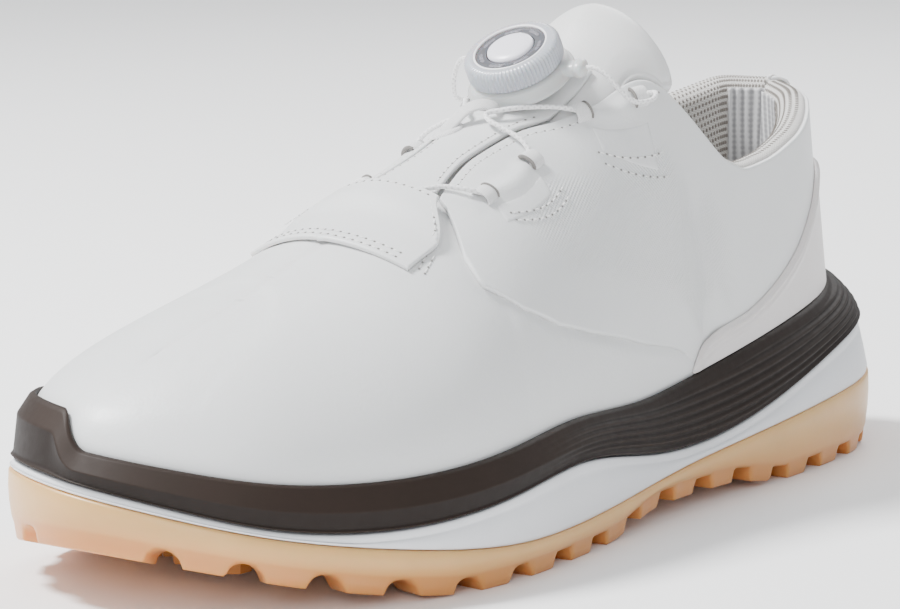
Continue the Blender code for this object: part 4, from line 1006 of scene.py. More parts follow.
def make_band():
    """The dark band: facets at the toe, ribs that fan out towards the heel, with painted shade and painted highlight in
    its tone.
    """
    look = bpy.context.scene.golf_shoe
    u = columns_round(look.rim_columns)
    t, _ = side_share(u)
    here, inward = rim_point(u)
    bottom = BAND_BOTTOM_AT(u)
    rise = bumper_rise(u)
    top = BAND_TOP_AT(u) + rise
    h_top = height_param(u, top)
    h_middle = height_param(u, np.maximum((top + bottom) / 2.0, FOOT_BED_AT(here[:, 1]) + 4.0))
    lip_in = skin(u, h_top, 0.5)
    lip_out = skin(u, h_top, 1.9)
    foot_out = flat3(here + inward * (BAND_BOTTOM_INSET_AT(u) - 0.2)[:, None], bottom)
    outward = flat3(-inward, 0.0)
    heel_share = 1.0 - ease((t - 0.50) / 0.16)
    toe_share = 1.0 - heel_share
    crease = 0.47 + 0.2 * ease((rise / BUMPER_RISE))
    rings = []
    tones = []
    steps = 44
    for k in range(steps + 1):
        v = k / steps
        facet = 1.9 * np.minimum(v / crease, (1.0 - v) / (1.0 - crease))
        swell = 1.7 * math.sin(math.pi * v ** 0.8)
        spread = np.clip((v - 0.10) / 0.72, 0.0, 1.0)
        ribs = np.sin(2.0 * math.pi * (5.5 * spread + 0.6 * np.sin(t * 9.0))) * (0.1 < v < 0.82)
        step = -1.3 * ease((v - 0.80) / 0.05) * (1.0 - ease((t - 0.1) / 0.1))
        out = toe_share * facet + heel_share * (swell + 0.32 * ribs) + step
        lip = 0.55 * np.exp(-((v - 0.045) / 0.03) ** 2) - 0.5 * np.exp(-((v - 0.0) / 0.02) ** 2)
        top_round = -0.7 * ease((v - 0.95) / 0.05)
        rings.append(foot_out * (1 - v) + lip_out * v + outward * (out + lip + top_round)[:, None])
        # Painted shade and highlight in the tone: at the toe the lower facet and the undercut line below the lip are
        # darker and the thin lip lighter; at the heel the grooves between the ribs are darker and the ridges lighter.
        shadow = toe_share * (0.75 * ease((crease - v) / 0.03) * (1 - np.exp(-((v - 0.05) / 0.03) ** 2)))
        tones.append(np.clip(shadow + heel_share * (0.45 + 0.35 * -ribs), 0.0, 1.0))
    for ring in (lip_in, skin(u, h_middle, 0.4),
                 flat3(here + inward * (BAND_TOP_INSET_AT(u) + 0.6)[:, None], bottom)):
        rings.append(ring)
        tones.append(np.full(len(u), 0.8))
    made = ring_body("sole_band_moulding", rings, finish("band"), closed_section=True,
                     attributes={"tone": np.array(tones)})
    finish_piece(made, SHOE, "brown_band", "sole_band")


# ---------------------------------------------------------------- upper
def cosine(count):
    """Shares from 0 to 1 that crowd together at both ends."""
    return 0.5 - 0.5 * np.cos(np.linspace(0.0, math.pi, count))


def seam_curve():
    """u and h along the seam where the quarter laps over the vamp, from the throat back to the band."""
    x = np.array([p[0] for p in SEAM_PLACES])
    y = np.array([p[1] for p in SEAM_PLACES])
    u, h = locate(x[:4], y[:4])
    z_low = [61.0, 55.6, 50.5, 45.7, 42.0, 38.6]
    u_low = []
    h_low = []
    for yy, zz in zip(y[4:], z_low):
        t = np.linspace(0.34, 0.72, 400)
        hz = height_param(t, zz)
        p = bare(t, hz)
        k = int(np.argmin(np.abs(p[:, 1] - yy)))
        u_low.append(t[k])
        h_low.append(hz[k])
    return np.concatenate([u, u_low]), np.concatenate([h, h_low])


def seam_bounds():
    """The seam as lower and upper limits of h for each u."""
    u, h = seam_curve()
    turn = int(np.argmax(u))
    upper_u = u[:turn + 1]
    upper_h = h[:turn + 1]
    lower_u = u[turn:][::-1]
    lower_h = h[turn:][::-1]
    return upper_u, upper_h, lower_u, lower_h


def quarter_limits(t, flip):
    """Lowest and highest h of a quarter at each share of the way to the toe."""
    upper_u, upper_h, lower_u, lower_h = SEAM
    real_u = 2.0 - t if flip else t
    low = np.interp(t, np.append(lower_u[0] - 0.03, lower_u), np.append(FOOT_H, lower_h))
    high = quarter_top(real_u)
    front = np.interp(t, upper_u, upper_h)
    high = np.where(t > upper_u[0], np.minimum(high, front), high)
    return low, np.maximum(high, low)


SEAM = seam_bounds()


def make_quarters():
    """The two side panels, thick at their laps and raised over the lace channels."""
    upper_u, _, lower_u, _ = SEAM
    t = np.concatenate([np.linspace(0.002, lower_u[0] - 0.002, 90), lower_u[0] + (upper_u[-1] - lower_u[0])
                        * np.linspace(0.0, 1.0, 150)])
    for name, node, flip in (("lateral_quarter_leather", "lateral_quarter", False),
                             ("medial_quarter_leather", "medial_quarter", True)):
        low, high = quarter_limits(t, flip)
        v = cosine(54)
        h = low[:, None] + (high - low)[:, None] * v[None, :]
        u = np.broadcast_to((2.0 - t if flip else t)[:, None], h.shape)
        face = bare(u, h)
        run = grid_runs(face)
        edge = np.minimum(run, run[:, -1:] - run)
        lap = 0.4 * ease((t - lower_u[0] + 0.04) / 0.08)[:, None] + channel_rise(face, flip)
        outer = skin(u, h, lap - rounded(edge, 0.6))
        inner = skin(u, h, 0.05 - SKIN + lap * 0.5)
        y = face[..., 1]
        z = face[..., 2]
        emboss = (ease((run - 9.0) / 10.0) * ease((run[:, -1:] - run - 15.0) / 8.0)
                  * ease((y + 30.0) / 16.0) * ease((62.0 - y) / 18.0) * ease((z - 43.0) / 6.0))
        weight = hump(t, 0.38, 0.03)
        made = shell(name, settle(outer, weight), settle(inner, weight), finish("embossed"),
                     attributes={"emboss": emboss})
        finish_piece(made, SHOE, "white_leather", node)


def channel_rise(points, flip):
    """How far the leather is raised over the two lace channels of a side."""
    rise = np.zeros(points.shape[:-1])
    for rear, front in ((UPPER_REAR, UPPER_FRONT), (LOWER_REAR, LOWER_FRONT)):
        middle = ((rear[0] + front[0]) / 2 + 1.4, (rear[1] + front[1]) / 2)
        places = [rear, middle, front]
        if flip:
            places = mirrored(places)
        path = even_path([over(x, y) for x, y in places], 0.8)
        gap = np.linalg.norm(points[..., None, :] - path, axis=-1)
        nearest = gap.argmin(axis=-1)
        run = np.minimum(nearest, len(path) - 1 - nearest) * 0.8
        rise = np.maximum(rise, CHANNEL_RISE * ease((run - 1.2) / 2.2) * hump(gap.min(axis=-1), 0.0, 2.7))
    return rise


def seam_distance(points, flip):
    """Distance from points to the seam, in millimetres."""
    u, h = seam_curve()
    path = even_path(bare(2.0 - u if flip else u, h), 1.0)
    gaps = np.linalg.norm(points[:, None, :] - path[None, :, :], axis=-1)
    return gaps.min(axis=1)


def make_vamp():
    """The one-piece forepart: it dips under the quarters where they lap over it."""
    upper_u, upper_h, lower_u, lower_h = SEAM
    t = np.concatenate([np.linspace(0.352, upper_u[0] - 0.001, 150), np.linspace(upper_u[0], 1.0, 150)])
    u_all = np.concatenate([t, (2.0 - t)[::-1][1:]])
    t_all, _ = side_share(u_all)
    seam_h = np.interp(t_all, np.append(lower_u[0] - 0.01, lower_u), np.append(-0.8, lower_h)) + 0.06
    share = ease((t_all - 0.47) / (upper_u[0] - 0.48))
    top = seam_h * (1.0 - share) + np.maximum(quarter_top(t_all) - 0.02, seam_h) * share
    top = np.where(t_all < upper_u[0], top, 1.0)
    h = FOOT_H + (top - FOOT_H)[:, None] * np.linspace(0.0, 1.0, 56) ** 0.9
    u = np.broadcast_to(u_all[:, None], h.shape)
    flat = bare(u, h).reshape(-1, 3)
    near = np.minimum(seam_distance(flat, False), seam_distance(flat, True)).reshape(h.shape)
    tt = t_all[:, None]
    high = np.where(tt > upper_u[0], np.interp(tt, upper_u, upper_h), 2.0)
    under = (h > np.interp(tt, lower_u, lower_h)) & (h < high) & (tt < upper_u[-1])
    signed = np.where(under, -near, near)
    sink = 0.9 * ease((1.6 - signed) / 2.0) + 0.9 * ease((-signed - 2.0) / 5.0)
    outer = skin(u, h, -sink)
    inner = skin(u, h, -sink - SKIN)
    weight = hump(t_all, 0.665, 0.022)
    made = shell("vamp_leather", settle(outer, weight), settle(inner, weight), finish("leather"),
                 attributes={"emboss": np.zeros(h.shape)})
    relax(made, lambda p: p.y < -0.052 and abs(p.x + 0.003) < 0.016 and p.z > 0.046, 24)
    relax(made, lambda p: (p.x + 0.0075) ** 2 + (p.y + 0.106) ** 2 < 0.018 ** 2 and p.z > 0.046, 70)
    finish_piece(made, SHOE, "white_leather", "vamp")


def cup_limits(t, flip):
    """Lowest and highest h of the heel cup at each share of the way to the toe."""
    u = 2.0 - t if flip else t
    top = last_inside(u, lambda p: p[..., 2] < HEEL_CUP_AT(p[..., 1]))
    low = height_param(u, BAND_TOP_AT(u) + 0.3)
    return low, np.maximum(top, low + 0.002)


def make_heel():
    """The heel cup laid over both quarters, with a raised cord round its upper edge."""
    t = np.linspace(-HEEL_CUP_T, HEEL_CUP_T, 190)
    u = t % 2.0
    low = np.empty(len(t))
    top = np.empty(len(t))
    for flip, pick in ((False, t >= 0), (True, t < 0)):
        low[pick], top[pick] = cup_limits(np.abs(t[pick]), flip)
    h = low[:, None] + (top - low)[:, None] * cosine(40)
    uu = np.broadcast_to(u[:, None], h.shape)
    run = grid_runs(bare(uu, h))
    from_top = run[:, -1:] - run
    ends = (np.abs(t[:, None]) - HEEL_CUP_T) * -190.0
    edge = np.minimum(from_top, np.maximum(ends, 0.0))
    cord = 0.75 * hump(from_top, 1.1, 0.7) + 0.35 * hump(from_top, 3.4, 0.9)
    outer = skin(uu, h, 0.9 + cord - rounded(edge, 0.7))
    inner = skin(uu, h, 0.1)
    weight = hump(t, 0.0, 0.012)
    made = shell("heel_cup_leather", settle(outer, weight), settle(inner, weight), finish("heel"))
    finish_piece(made, SHOE, "heel_leather", "heel_cup")


def lining_offset(u, h, edge):
    """How deep the lining lies inside the outer face; padding fills it out near the collar's edge."""
    t, _ = side_share(u)
    near_edge = ease((h - edge + 0.55) / 0.35) * (1.0 - ease((t - 0.34) / 0.06))
    return -(LINING_DEPTH + COLLAR_PAD * near_edge)


def lining_top(u):
    """h where the lining meets the collar's edge or the tongue's opening."""
    def inside(p):
        clear = np.abs(p[..., 0] - ridge_x(p[..., 1])) > eyestay(p) + 1.5
        return (p[..., 1] > 42) | clear
    return np.maximum(np.minimum(quarter_top(u), last_inside(u, inside, low=0.25)), 0.25)


def make_collar():
    """The padded collar and lining: over the topline, down the inner wall to the foot bed."""
    t = np.concatenate([np.linspace(-0.655, -0.37, 50), np.linspace(-0.365, 0.365, 170), np.linspace(0.37, 0.655, 50)])
    u = t % 2.0
    top = lining_top(u)
    tt = np.abs(t)
    roll = 1.0 - ease((tt - 0.345) / 0.04)
    over_rows = [(-1.15, -0.9), (-1.2, 0.15), (-1.75, 0.95), (-2.9, 1.55), (-4.4, 1.75), (-6.0, 1.4), (-7.5, 0.4),
                 (-8.5, -1.1)]
    columns = []
    for offset, lift in over_rows:
        p = skin(u, top, offset * roll - LINING_DEPTH * (1.0 - roll))
        p[:, 2] += lift * roll
        columns.append(p)
    rows = 44
    start = top - 0.03

    def down(share):
        return start + (FOOT_H - start) * share

    for share in np.linspace(0.0, 1.0, rows + 1)[1:]:
        columns.append(skin(u, down(share), lining_offset(u, down(share), top)))
    outer = np.stack(columns, axis=1)
    back = np.stack([skin(u, np.minimum(top - 0.02, down(max((k - len(over_rows)) / rows, 0.0))), -2.2)
                     for k in range(len(columns))], axis=1)
    weight = np.maximum(hump(t, 0.0, 0.012), 0.8 * hump(tt, 0.375, 0.03))
    made = shell("collar_lining", settle(outer, weight), settle(back, weight), finish("mesh"))
    finish_piece(made, SHOE, "lining_textile", "quarter_lining", "collar_padding", "collar_binding")


def lining_point(t, depth_mm):
    """A point of the inner wall, a way down from the collar's edge, with its directions."""
    u = t % 2.0
    top = lining_top(u)
    h = top - 0.03 - depth_mm / 75.0
    here = skin(u, h, lining_offset(u, h, top))
    ahead = skin((t + 0.004) % 2.0, h, lining_offset(u, h, top))
    return here, ahead - here, -normal_at(u, h)


def lining_strip(name, t, depth, surface, under, rise):
    """A thin sheet on the inner wall between depths below the collar's edge."""
    tt = np.broadcast_to(t[:, None], (len(t), len(depth)))
    dd = np.broadcast_to(depth, tt.shape)
    here, _, inwards = lining_point(tt, dd)
    outer = here + inwards * np.broadcast_to(rise(tt, dd), tt.shape)[..., None]
    finish_piece(shell(name, outer, here + inwards * under, surface), SHOE, "lining_textile")


def make_collar_details():
    """Dark beads of painted shade for the holes of the collar's knit, the ribbed knit at the heel and the net lower
    down.
    """
    spots = [((k + 0.5 * (row % 2)) * MESH_PITCH_T, row * 1.75 - 1.0) for row in range(17) for k in range(-78, 79)]
    t, depth = np.array([spot for spot in spots if 0.085 <= abs(spot[0]) <= 0.35]).T
    here, along, inwards = lining_point(t, depth)
    keep = here[:, 2] > 55.0
    parts = [(here[keep], along[keep], inwards[keep])]
    for row, (offset, lift, climb) in enumerate(((-3.4, 1.66, 1.0), (-5.2, 1.62, 0.95), (-6.8, 0.9, 0.6),
                                                 (-8.0, -0.3, 0.3))):
        t = (np.arange(-72, 73) + 0.5 * (row % 2)) * MESH_PITCH_T
        t = t[np.abs(t) > 0.022]
        top = lining_top(t % 2.0)
        spot = skin(t % 2.0, top, offset)
        ahead = skin((t + 0.004) % 2.0, lining_top((t + 0.004) % 2.0), offset) - spot
        spot[:, 2] += lift
        face = -normal_at(t % 2.0, top) * (1.0 - climb ** 2) ** 0.5 + np.array([0.0, 0.0, climb])
        parts.append((spot, ahead, unit(face)))
    here, along, inwards = (np.concatenate(group) for group in zip(*parts))
    # Dark beads of painted shade stand for the holes of the collar's knit.
    scatter("collar_mesh_holes", "bead", here + inwards * 0.02, along, inwards, (0.66, 1.15, 0.3),
            finish("painted_perforation_shade"), slot="lining_textile")
    lining_strip("heel_knit_strip", np.linspace(-0.082, 0.082, 60), np.linspace(-1.5, 27.5, 40), finish("stripe"),
                 0.05, lambda t, depth: 0.45 + 0.22 * np.sin(t * 2 * math.pi / 0.0165))
    lining_strip("lower_net_lining", np.linspace(-0.34, 0.34, 160), np.linspace(27.0, 62.0, 30), finish("net"),
                 0.02, lambda t, depth: 0.5 - rounded(depth - 27.0, 0.4))


def make_heel_strip():
    """The smooth strip down the back of the heel that covers where the quarters meet."""
    t = np.linspace(-0.019, 0.019, 25)
    u = t % 2.0
    top = quarter_top(u)
    columns = []
    backs = []
    for depth, lift in ((-6.0, 1.9), (-4.6, 2.5), (-2.8, 2.5), (-1.2, 2.1), (0.1, 1.5), (0.75, 0.4)):
        columns.append(skin(u, top, depth) + np.array([0.0, 0.0, lift]))
        backs.append(skin(u, top, depth * 0.8 - 0.3) + np.array([0.0, 0.0, lift - 0.8]))
    low = height_param(u, 78.0)
    for share in np.linspace(0.0, 1.0, 24):
        h = (top - 0.004) * (1.0 - share) + low * share
        columns.append(skin(u, h, 0.75))
        backs.append(skin(u, h, 0.05))
    weight = hump(t, 0.0, 0.015)
    outer = settle(np.stack(columns, axis=1), weight)
    made = shell("heel_strip_leather", outer, settle(np.stack(backs, axis=1), weight), finish("leather"),
                 attributes={"emboss": np.zeros(outer.shape[:2])})
    finish_piece(made, SHOE, "white_leather")


# ---------------------------------------------------------------- tongue, panel and patch
def tongue_side(t):
    """h where the tongue's side edge lies under the quarters."""
    def inside(p):
        half = EYESTAY_AT(p[..., 1]) + 7.0 - 7.0 * ease((p[..., 1] - 8.0) / 22.0)
        return np.abs(p[..., 0] - ridge_x(p[..., 1])) > half
    return last_inside(t, inside, low=0.4)


def make_tongue():
    """A padded tongue with a broad rounded top, thick in the middle and thin at its rim."""
    t = TONGUE_TIP_T + 0.278 * np.linspace(0.0, 1.0, 130) ** 1.25
    half = 40
    low = np.maximum(np.maximum(tongue_side(t), 0.46), 0.47 + 0.13 * ease((0.425 - t) / 0.04))
    corner = np.clip(1.0 - (t - TONGUE_TIP_T) / 0.014, 0.0, 0.998)
    low = low + (1.0 - low) * (1.0 - (1.0 - corner ** 2.4) ** (1.0 / 2.4))
    across = np.sin(np.linspace(-1.0, 1.0, 2 * half + 1) * math.pi / 2)
    h = 1.0 - np.abs(across)[None, :] * (1.0 - low)[:, None]
    u = np.where(across[None, :] >= 0, t[:, None], 2.0 - t[:, None])
    face = bare(u, h)
    run = grid_runs(face)
    from_top = run_lengths(face[:, half])[:, None]
    edge = np.minimum(np.minimum(run, run[:, -1:] - run), from_top)
    body = np.sqrt(np.clip(edge / 9.0, 0.0, 1.0))
    roll = np.sqrt(np.clip(edge / 1.6, 0.0, 1.0))
    free = (1.0 - ease((t - 0.46) / 0.05))[:, None]
    rim = 0.35 * hump(edge, 1.0, 0.6) - 0.3 * hump(edge, 2.4, 0.6)
    front = -3.0 + free * (1.6 * body + rim)
    middle = -4.2
    outer = skin(u, h, middle + (front - middle) * roll)
    inner = skin(u, h, middle - (1.2 + 2.8 * body) * roll)
    made = shell("padded_tongue", outer, inner, finish("leather"), attributes={"emboss": np.zeros(h.shape)})
    finish_piece(made, SHOE, "white_leather", "tongue_cover", "tongue_padding", "tongue_lining")


def plan_shell(name, x, y, top, thickness, surface, radius=0.5, slot="white_leather", nodes=()):
    """A thin panel whose rows and columns are given in plan over the instep."""
    u, h = locate(x, y)
    face = bare(u, h)
    across = grid_runs(face)
    down = grid_runs(face, axis=0)
    edge = np.minimum(np.minimum(across, across[:, -1:] - across), np.minimum(down, down[-1:] - down))
    outer = skin(u, h, top - rounded(edge, radius))
    inner = skin(u, h, top - thickness)
    made = shell(name, outer, inner, surface, attributes={"emboss": np.zeros(x.shape)})
    return finish_piece(made, SHOE, slot, *nodes)


def panel_half(y):
    """Half width of the panel under the dial."""
    return EYESTAY_AT(np.minimum(y, 3.0)) - 1.6


def patch_half(y):
    """Half width of the patch at the throat."""
    return 15.0 + 9.0 * ease((-43.0 - y) / 13.0)


def make_panels():
    """The panel that carries the dial and the patch that holds the tongue down."""
    y = -41.5 + 62.5 * cosine(70)
    share = np.cos(np.linspace(math.pi, 0.0, 31))
    x = ridge_x(y)[:, None] + panel_half(y)[:, None] * share
    yy = np.broadcast_to(y[:, None], x.shape)
    plan_shell("dial_panel_leather", x, yy, 0.0, 1.2, finish("leather"), nodes=("dial_panel",))
    y = -69.0 + 25.4 * cosine(44)
    share = np.cos(np.linspace(math.pi, 0.0, 61))
    x = ridge_x(y)[:, None] + patch_half(y)[:, None] * share
    bow = 2.5 * (share ** 2)[None, :] * ease((-55.0 - y) / 14.0)[:, None]
    yy = np.broadcast_to(y[:, None], x.shape) + bow
    top = 1.3 + 1.4 * ease((yy + 58.0) / 9.0)
    plan_shell("throat_patch_leather", x, yy, top, 1.1, finish("leather"), nodes=("throat_patch",))


def mirrored(points):
    """Plan points of the lateral side carried over to the medial side."""
    return [(MIRROR_X - MEDIAL_NARROWING * (p[0] - MIRROR_X),) + tuple(p[1:]) for p in points]


SIDES = (("lateral", lambda p: list(p)), ("medial", mirrored))


def surface_frame(x, y):
    u, h = locate(x, y)
    return skin(u, h), normal_at(u, h)


def loop_arch(seat, normal, inward, cross):
    """The path of one webbing loop, standing over its slit."""
    arch = []
    for swing in np.linspace(0.0, 1.0, 25) * math.pi:
        wide = -math.cos(swing) * LOOP_HALF_WIDTH
        high = LOOP_HEIGHT * max(math.sin(swing), 0.0) ** 0.55 - 0.5
        arch.append(seat - inward * 0.1 + cross * wide + normal * high)
    return arch


def make_guides():
    """Webbing loops that come out of slits in the quarters and carry the lace."""
    slots = []
    for side, flip in SIDES:
        for place, (rear, front) in (("upper", (UPPER_REAR, UPPER_FRONT)), ("lower", (LOWER_REAR, LOWER_FRONT))):
            pieces = []
            seats = [surface_frame(*flip([spot])[0]) for spot in (rear, front)]
            for (seat, normal), (other, _) in (seats, seats[::-1]):
                inward = other - seat
                inward = unit(inward - normal * inward.dot(normal))
                arch = loop_arch(seat, normal, inward, np.cross(normal, inward))
                pieces.append(sweep("loop", even_path(arch, 0.35), oval(4.2, 0.7, 14, 0.6), finish("webbing"),
                                    normal, round_ends=False))
                # A dark strip of painted shade along each slit, where the loop comes out of the quarter.
                slit = [point + inward * 2.3 + normal * 0.12 for point in arch[2:-2]]
                slots.append(sweep("slot", even_path(slit, 0.35), oval(0.55, 1.1, 8), finish("hole"), normal,
                                   round_ends=False))
            label = "%s_%s" % (side, place)
            finish_piece(join_pieces("lace_loops_" + label, pieces), SHOE, "white_webbing", "lace_guide_" + label)
            rows = np.linspace(0.0, 1.0, 26)
            cols = np.linspace(0.0, 1.0, 12)
            mid = (rear[0] + front[0]) / 2 + 1.6
            rx = (1 - rows) ** 2 * rear[0] + 2 * rows * (1 - rows) * mid + rows ** 2 * front[0]
            ry = (1 - rows) * rear[1] + rows * front[1]
            xx = rx[:, None] + (3.0 + 4.4 * cols[None, :]) * (1.0 if side == "lateral" else 0.6)
            yy = ry[:, None] - cols[None, :]
            xx, _ = flip([(xx, yy)])[0]
            plan_shell("loop_tab_" + label, xx, yy, 0.55, 0.9, finish("leather"), 0.3, slot="white_webbing",
                       nodes=("guide_tab_" + label,))
    finish_piece(join_pieces("loop_slots", slots), SHOE, "white_webbing")


def join_pieces(name, pieces):
    """Join separate meshes into one piece."""
    work = bmesh.new()
    for piece in pieces:
        work.from_mesh(piece.data)
    mesh = bpy.data.meshes.new(name)
    work.to_mesh(mesh)
    work.free()
    mesh.materials.append(pieces[0].data.materials[0])
    for piece in pieces:
        bpy.data.objects.remove(piece)
    return link_object(name, mesh)


def make_hook():
    """The centre strap that holds both runs of the lace under the dial."""
    route = [(3.4, -3.6, 0.2), (2.6, -4.8, 2.6), (0.6, -6.8, 4.0), (-2.0, -9.2, 3.6), (-4.4, -11.4, 1.9),
             (-6.6, -13.2, 0.7)]
    path = even_path([over(*stop) for stop in route], 0.5)
    strap = sweep("centre_strap", path, oval(3.4, 1.0, 16, 0.6), finish("webbing"), (-0.5, -0.8, 0.5))
    finish_piece(strap, SHOE, "white_webbing", "lace_guide_lateral_centre", "lace_guide_medial_centre")
    angle = np.linspace(0.0, 2 * math.pi, 33)[:-1]
    rows = np.linspace(0.05, 1.0, 10)
    x = -6.6 + 4.4 * rows[:, None] * np.cos(angle)[None, :]
    y = -12.4 + 3.4 * rows[:, None] * np.sin(angle)[None, :]
    u, h = locate(x, y)
    edge = (1.0 - rows)[:, None] * 4.0 * np.ones_like(x)
    grid = np.concatenate([skin(u, h, 0.75 - rounded(edge, 0.5)), skin(u[-1:], h[-1:], 0.05)])
    plan = np.stack([x, y], axis=-1)
    uv = np.concatenate([plan, plan[-1:]]).reshape(-1, 2) / 10
    made = add_piece("centre_strap_base", grid.reshape(-1, 3), capped_faces(*grid.shape[:2]), finish("webbing"), uv)
    finish_piece(made, SHOE, "white_webbing")


def lace_half(flip, angle):
    """One side's run of the lace, from its outlet on the dial to the middle of the throat."""
    start = [dial_point(BOSS_REACH + out, angle, BOSS_HEIGHT) for out in (-0.6, 2.6)]
    route = [(23.8, 20.6, 7.4), (25.2, 25.8, 6.4), (25.0, 29.2, 3.4), (24.2, 27.4, 1.5), (23.9, 25.4, 1.0),
             (23.4, 22.0, -0.9), (21.4, 16.4, -1.4), (19.4, 12.4, -0.6), (18.0, 10.2, 0.9), (15.4, 6.6, 1.9),
             (10.2, 0.6, 2.2), (5.4, -5.2, 2.6), (2.6, -8.2, 2.4), (4.2, -9.8, 2.3), (9.6, -10.6, 2.0),
             (15.6, -10.8, 1.9), (18.8, -12.0, 1.2), (20.4, -14.4, 0.4), (22.2, -19.0, -1.3), (22.8, -26.0, -1.4),
             (21.6, -30.0, -0.4), (20.2, -32.2, 1.0), (17.6, -35.4, 1.8), (12.8, -38.6, 1.4), (7.5, -43.5, 0.9)]
    return start + [over(*stop) for stop in flip(route)]


def make_lace():
    """One lace from outlet to outlet, through every guide."""
    look = bpy.context.scene.golf_shoe
    lateral = lace_half(SIDES[0][1], BOSS_ANGLE)
    medial = lace_half(SIDES[1][1], math.pi - BOSS_ANGLE)
    path = even_path(lateral + [over(-0.2, -47.0, 0.9)] + medial[::-1], 0.8)
    size = look.lace_diameter / MM
    made = sweep("lace_cord", path, oval(size, size, 10), finish("cord"))
    finish_piece(made, SHOE, "white_webbing", "lace")


# ---------------------------------------------------------------- stitching
def gather(lines, pitch):
    """Stitch centres with their directions, a pitch apart along each line."""
    spots = []
    alongs = []
    ups = []
    for u, h, lift in lines:
        path = skin(u, h, lift)
        run = run_lengths(path)
        centres = np.arange(pitch / 2, run[-1], pitch)
        spots.append(sample(centres, run, path))
        alongs.append(sample(centres + 0.4, run, path) - sample(centres - 0.4, run, path))
        ups.append(sample(centres, run, normal_at(u, h)))
    return np.concatenate(spots), np.concatenate(alongs), np.concatenate(ups)


def plan_line(points, lift):
    """A line of stitching given in plan, as u, h and how far it lies above the outer face."""
    points = np.array(points, float)
    run = run_lengths(points)
    fine = np.linspace(0.0, run[-1], max(int(run[-1] / 0.5), 4))
    return (*locate(*sample(fine, run, points).T), lift)


def make_stitches():
    """Rows of stitches with a dark bead of painted shade for the needle hole between each two."""
    look = bpy.context.scene.golf_shoe
    lines = []
    for side, flip in SIDES:
        lateral = side == "lateral"
        for rear, front, bow in (((30.4, 29.0), (25.0, 7.0), 0.9), ((26.2, -8.6), (25.8, -30.4), 1.6)):
            share = np.linspace(0.0, 1.0, 20)
            start = rear[0] if lateral else rear[0] - MEDIAL_PULL_IN
            y = rear[1] + (front[1] - rear[1]) * share
            for shift in (0.0, STITCH_ROW_GAP):
                x = start + (front[0] - rear[0]) * share + bow * 4 * share * (1 - share) + shift
                lines.append(plan_line(flip(list(zip(x, y))), 0.62))
        y = np.linspace(-39.0, 33.0, 60)
        lines.append(plan_line(flip(list(zip(ridge_x(y) + EYESTAY_AT(y) + 2.2, y))), 0.36))
        sign = 1.0 if lateral else -1.0
        y = np.linspace(-37.0, 0.0, 40)
        lines.append(plan_line(list(zip(ridge_x(y) + sign * (panel_half(y) - 1.6), y)), 0.02))
        y = np.linspace(-56.0, -45.4, 20)
        x = ridge_x(y) + patch_half(y) - 1.8
        lines.append(plan_line(list(zip(x if lateral else -x - 0.4, y)), 2.6))
        for shift in (0.0, STITCH_ROW_GAP):
            lines.append(plan_line(flip([(22.6 + shift, -57.4), (24.4 + shift, -63.6)]), 0.12))
    x = np.linspace(-20.6, 19.8, 60)
    for shift in (0.0, 1.8):
        lines.append(plan_line(list(zip(x, -67.6 + 2.5 * (x / 24.0) ** 2 + shift)), 1.36))
    lines.append(plan_line([(x, -45.2) for x in np.linspace(-12.4, 12.2, 40)], 2.72))
    pitch = look.stitch_pitch / MM
    spots, alongs, ups = gather(lines, pitch)
    scatter("upper_stitches", "bead", spots, alongs, ups, (look.stitch_length / MM, 0.42, 0.34), finish("thread"))
    # Dark beads of painted shade stand for the needle holes.
    scatter("needle_holes", "bead", spots + unit(alongs) * pitch / 2.0, alongs, ups, (0.72, 0.62, 0.16),
            finish("hole"))


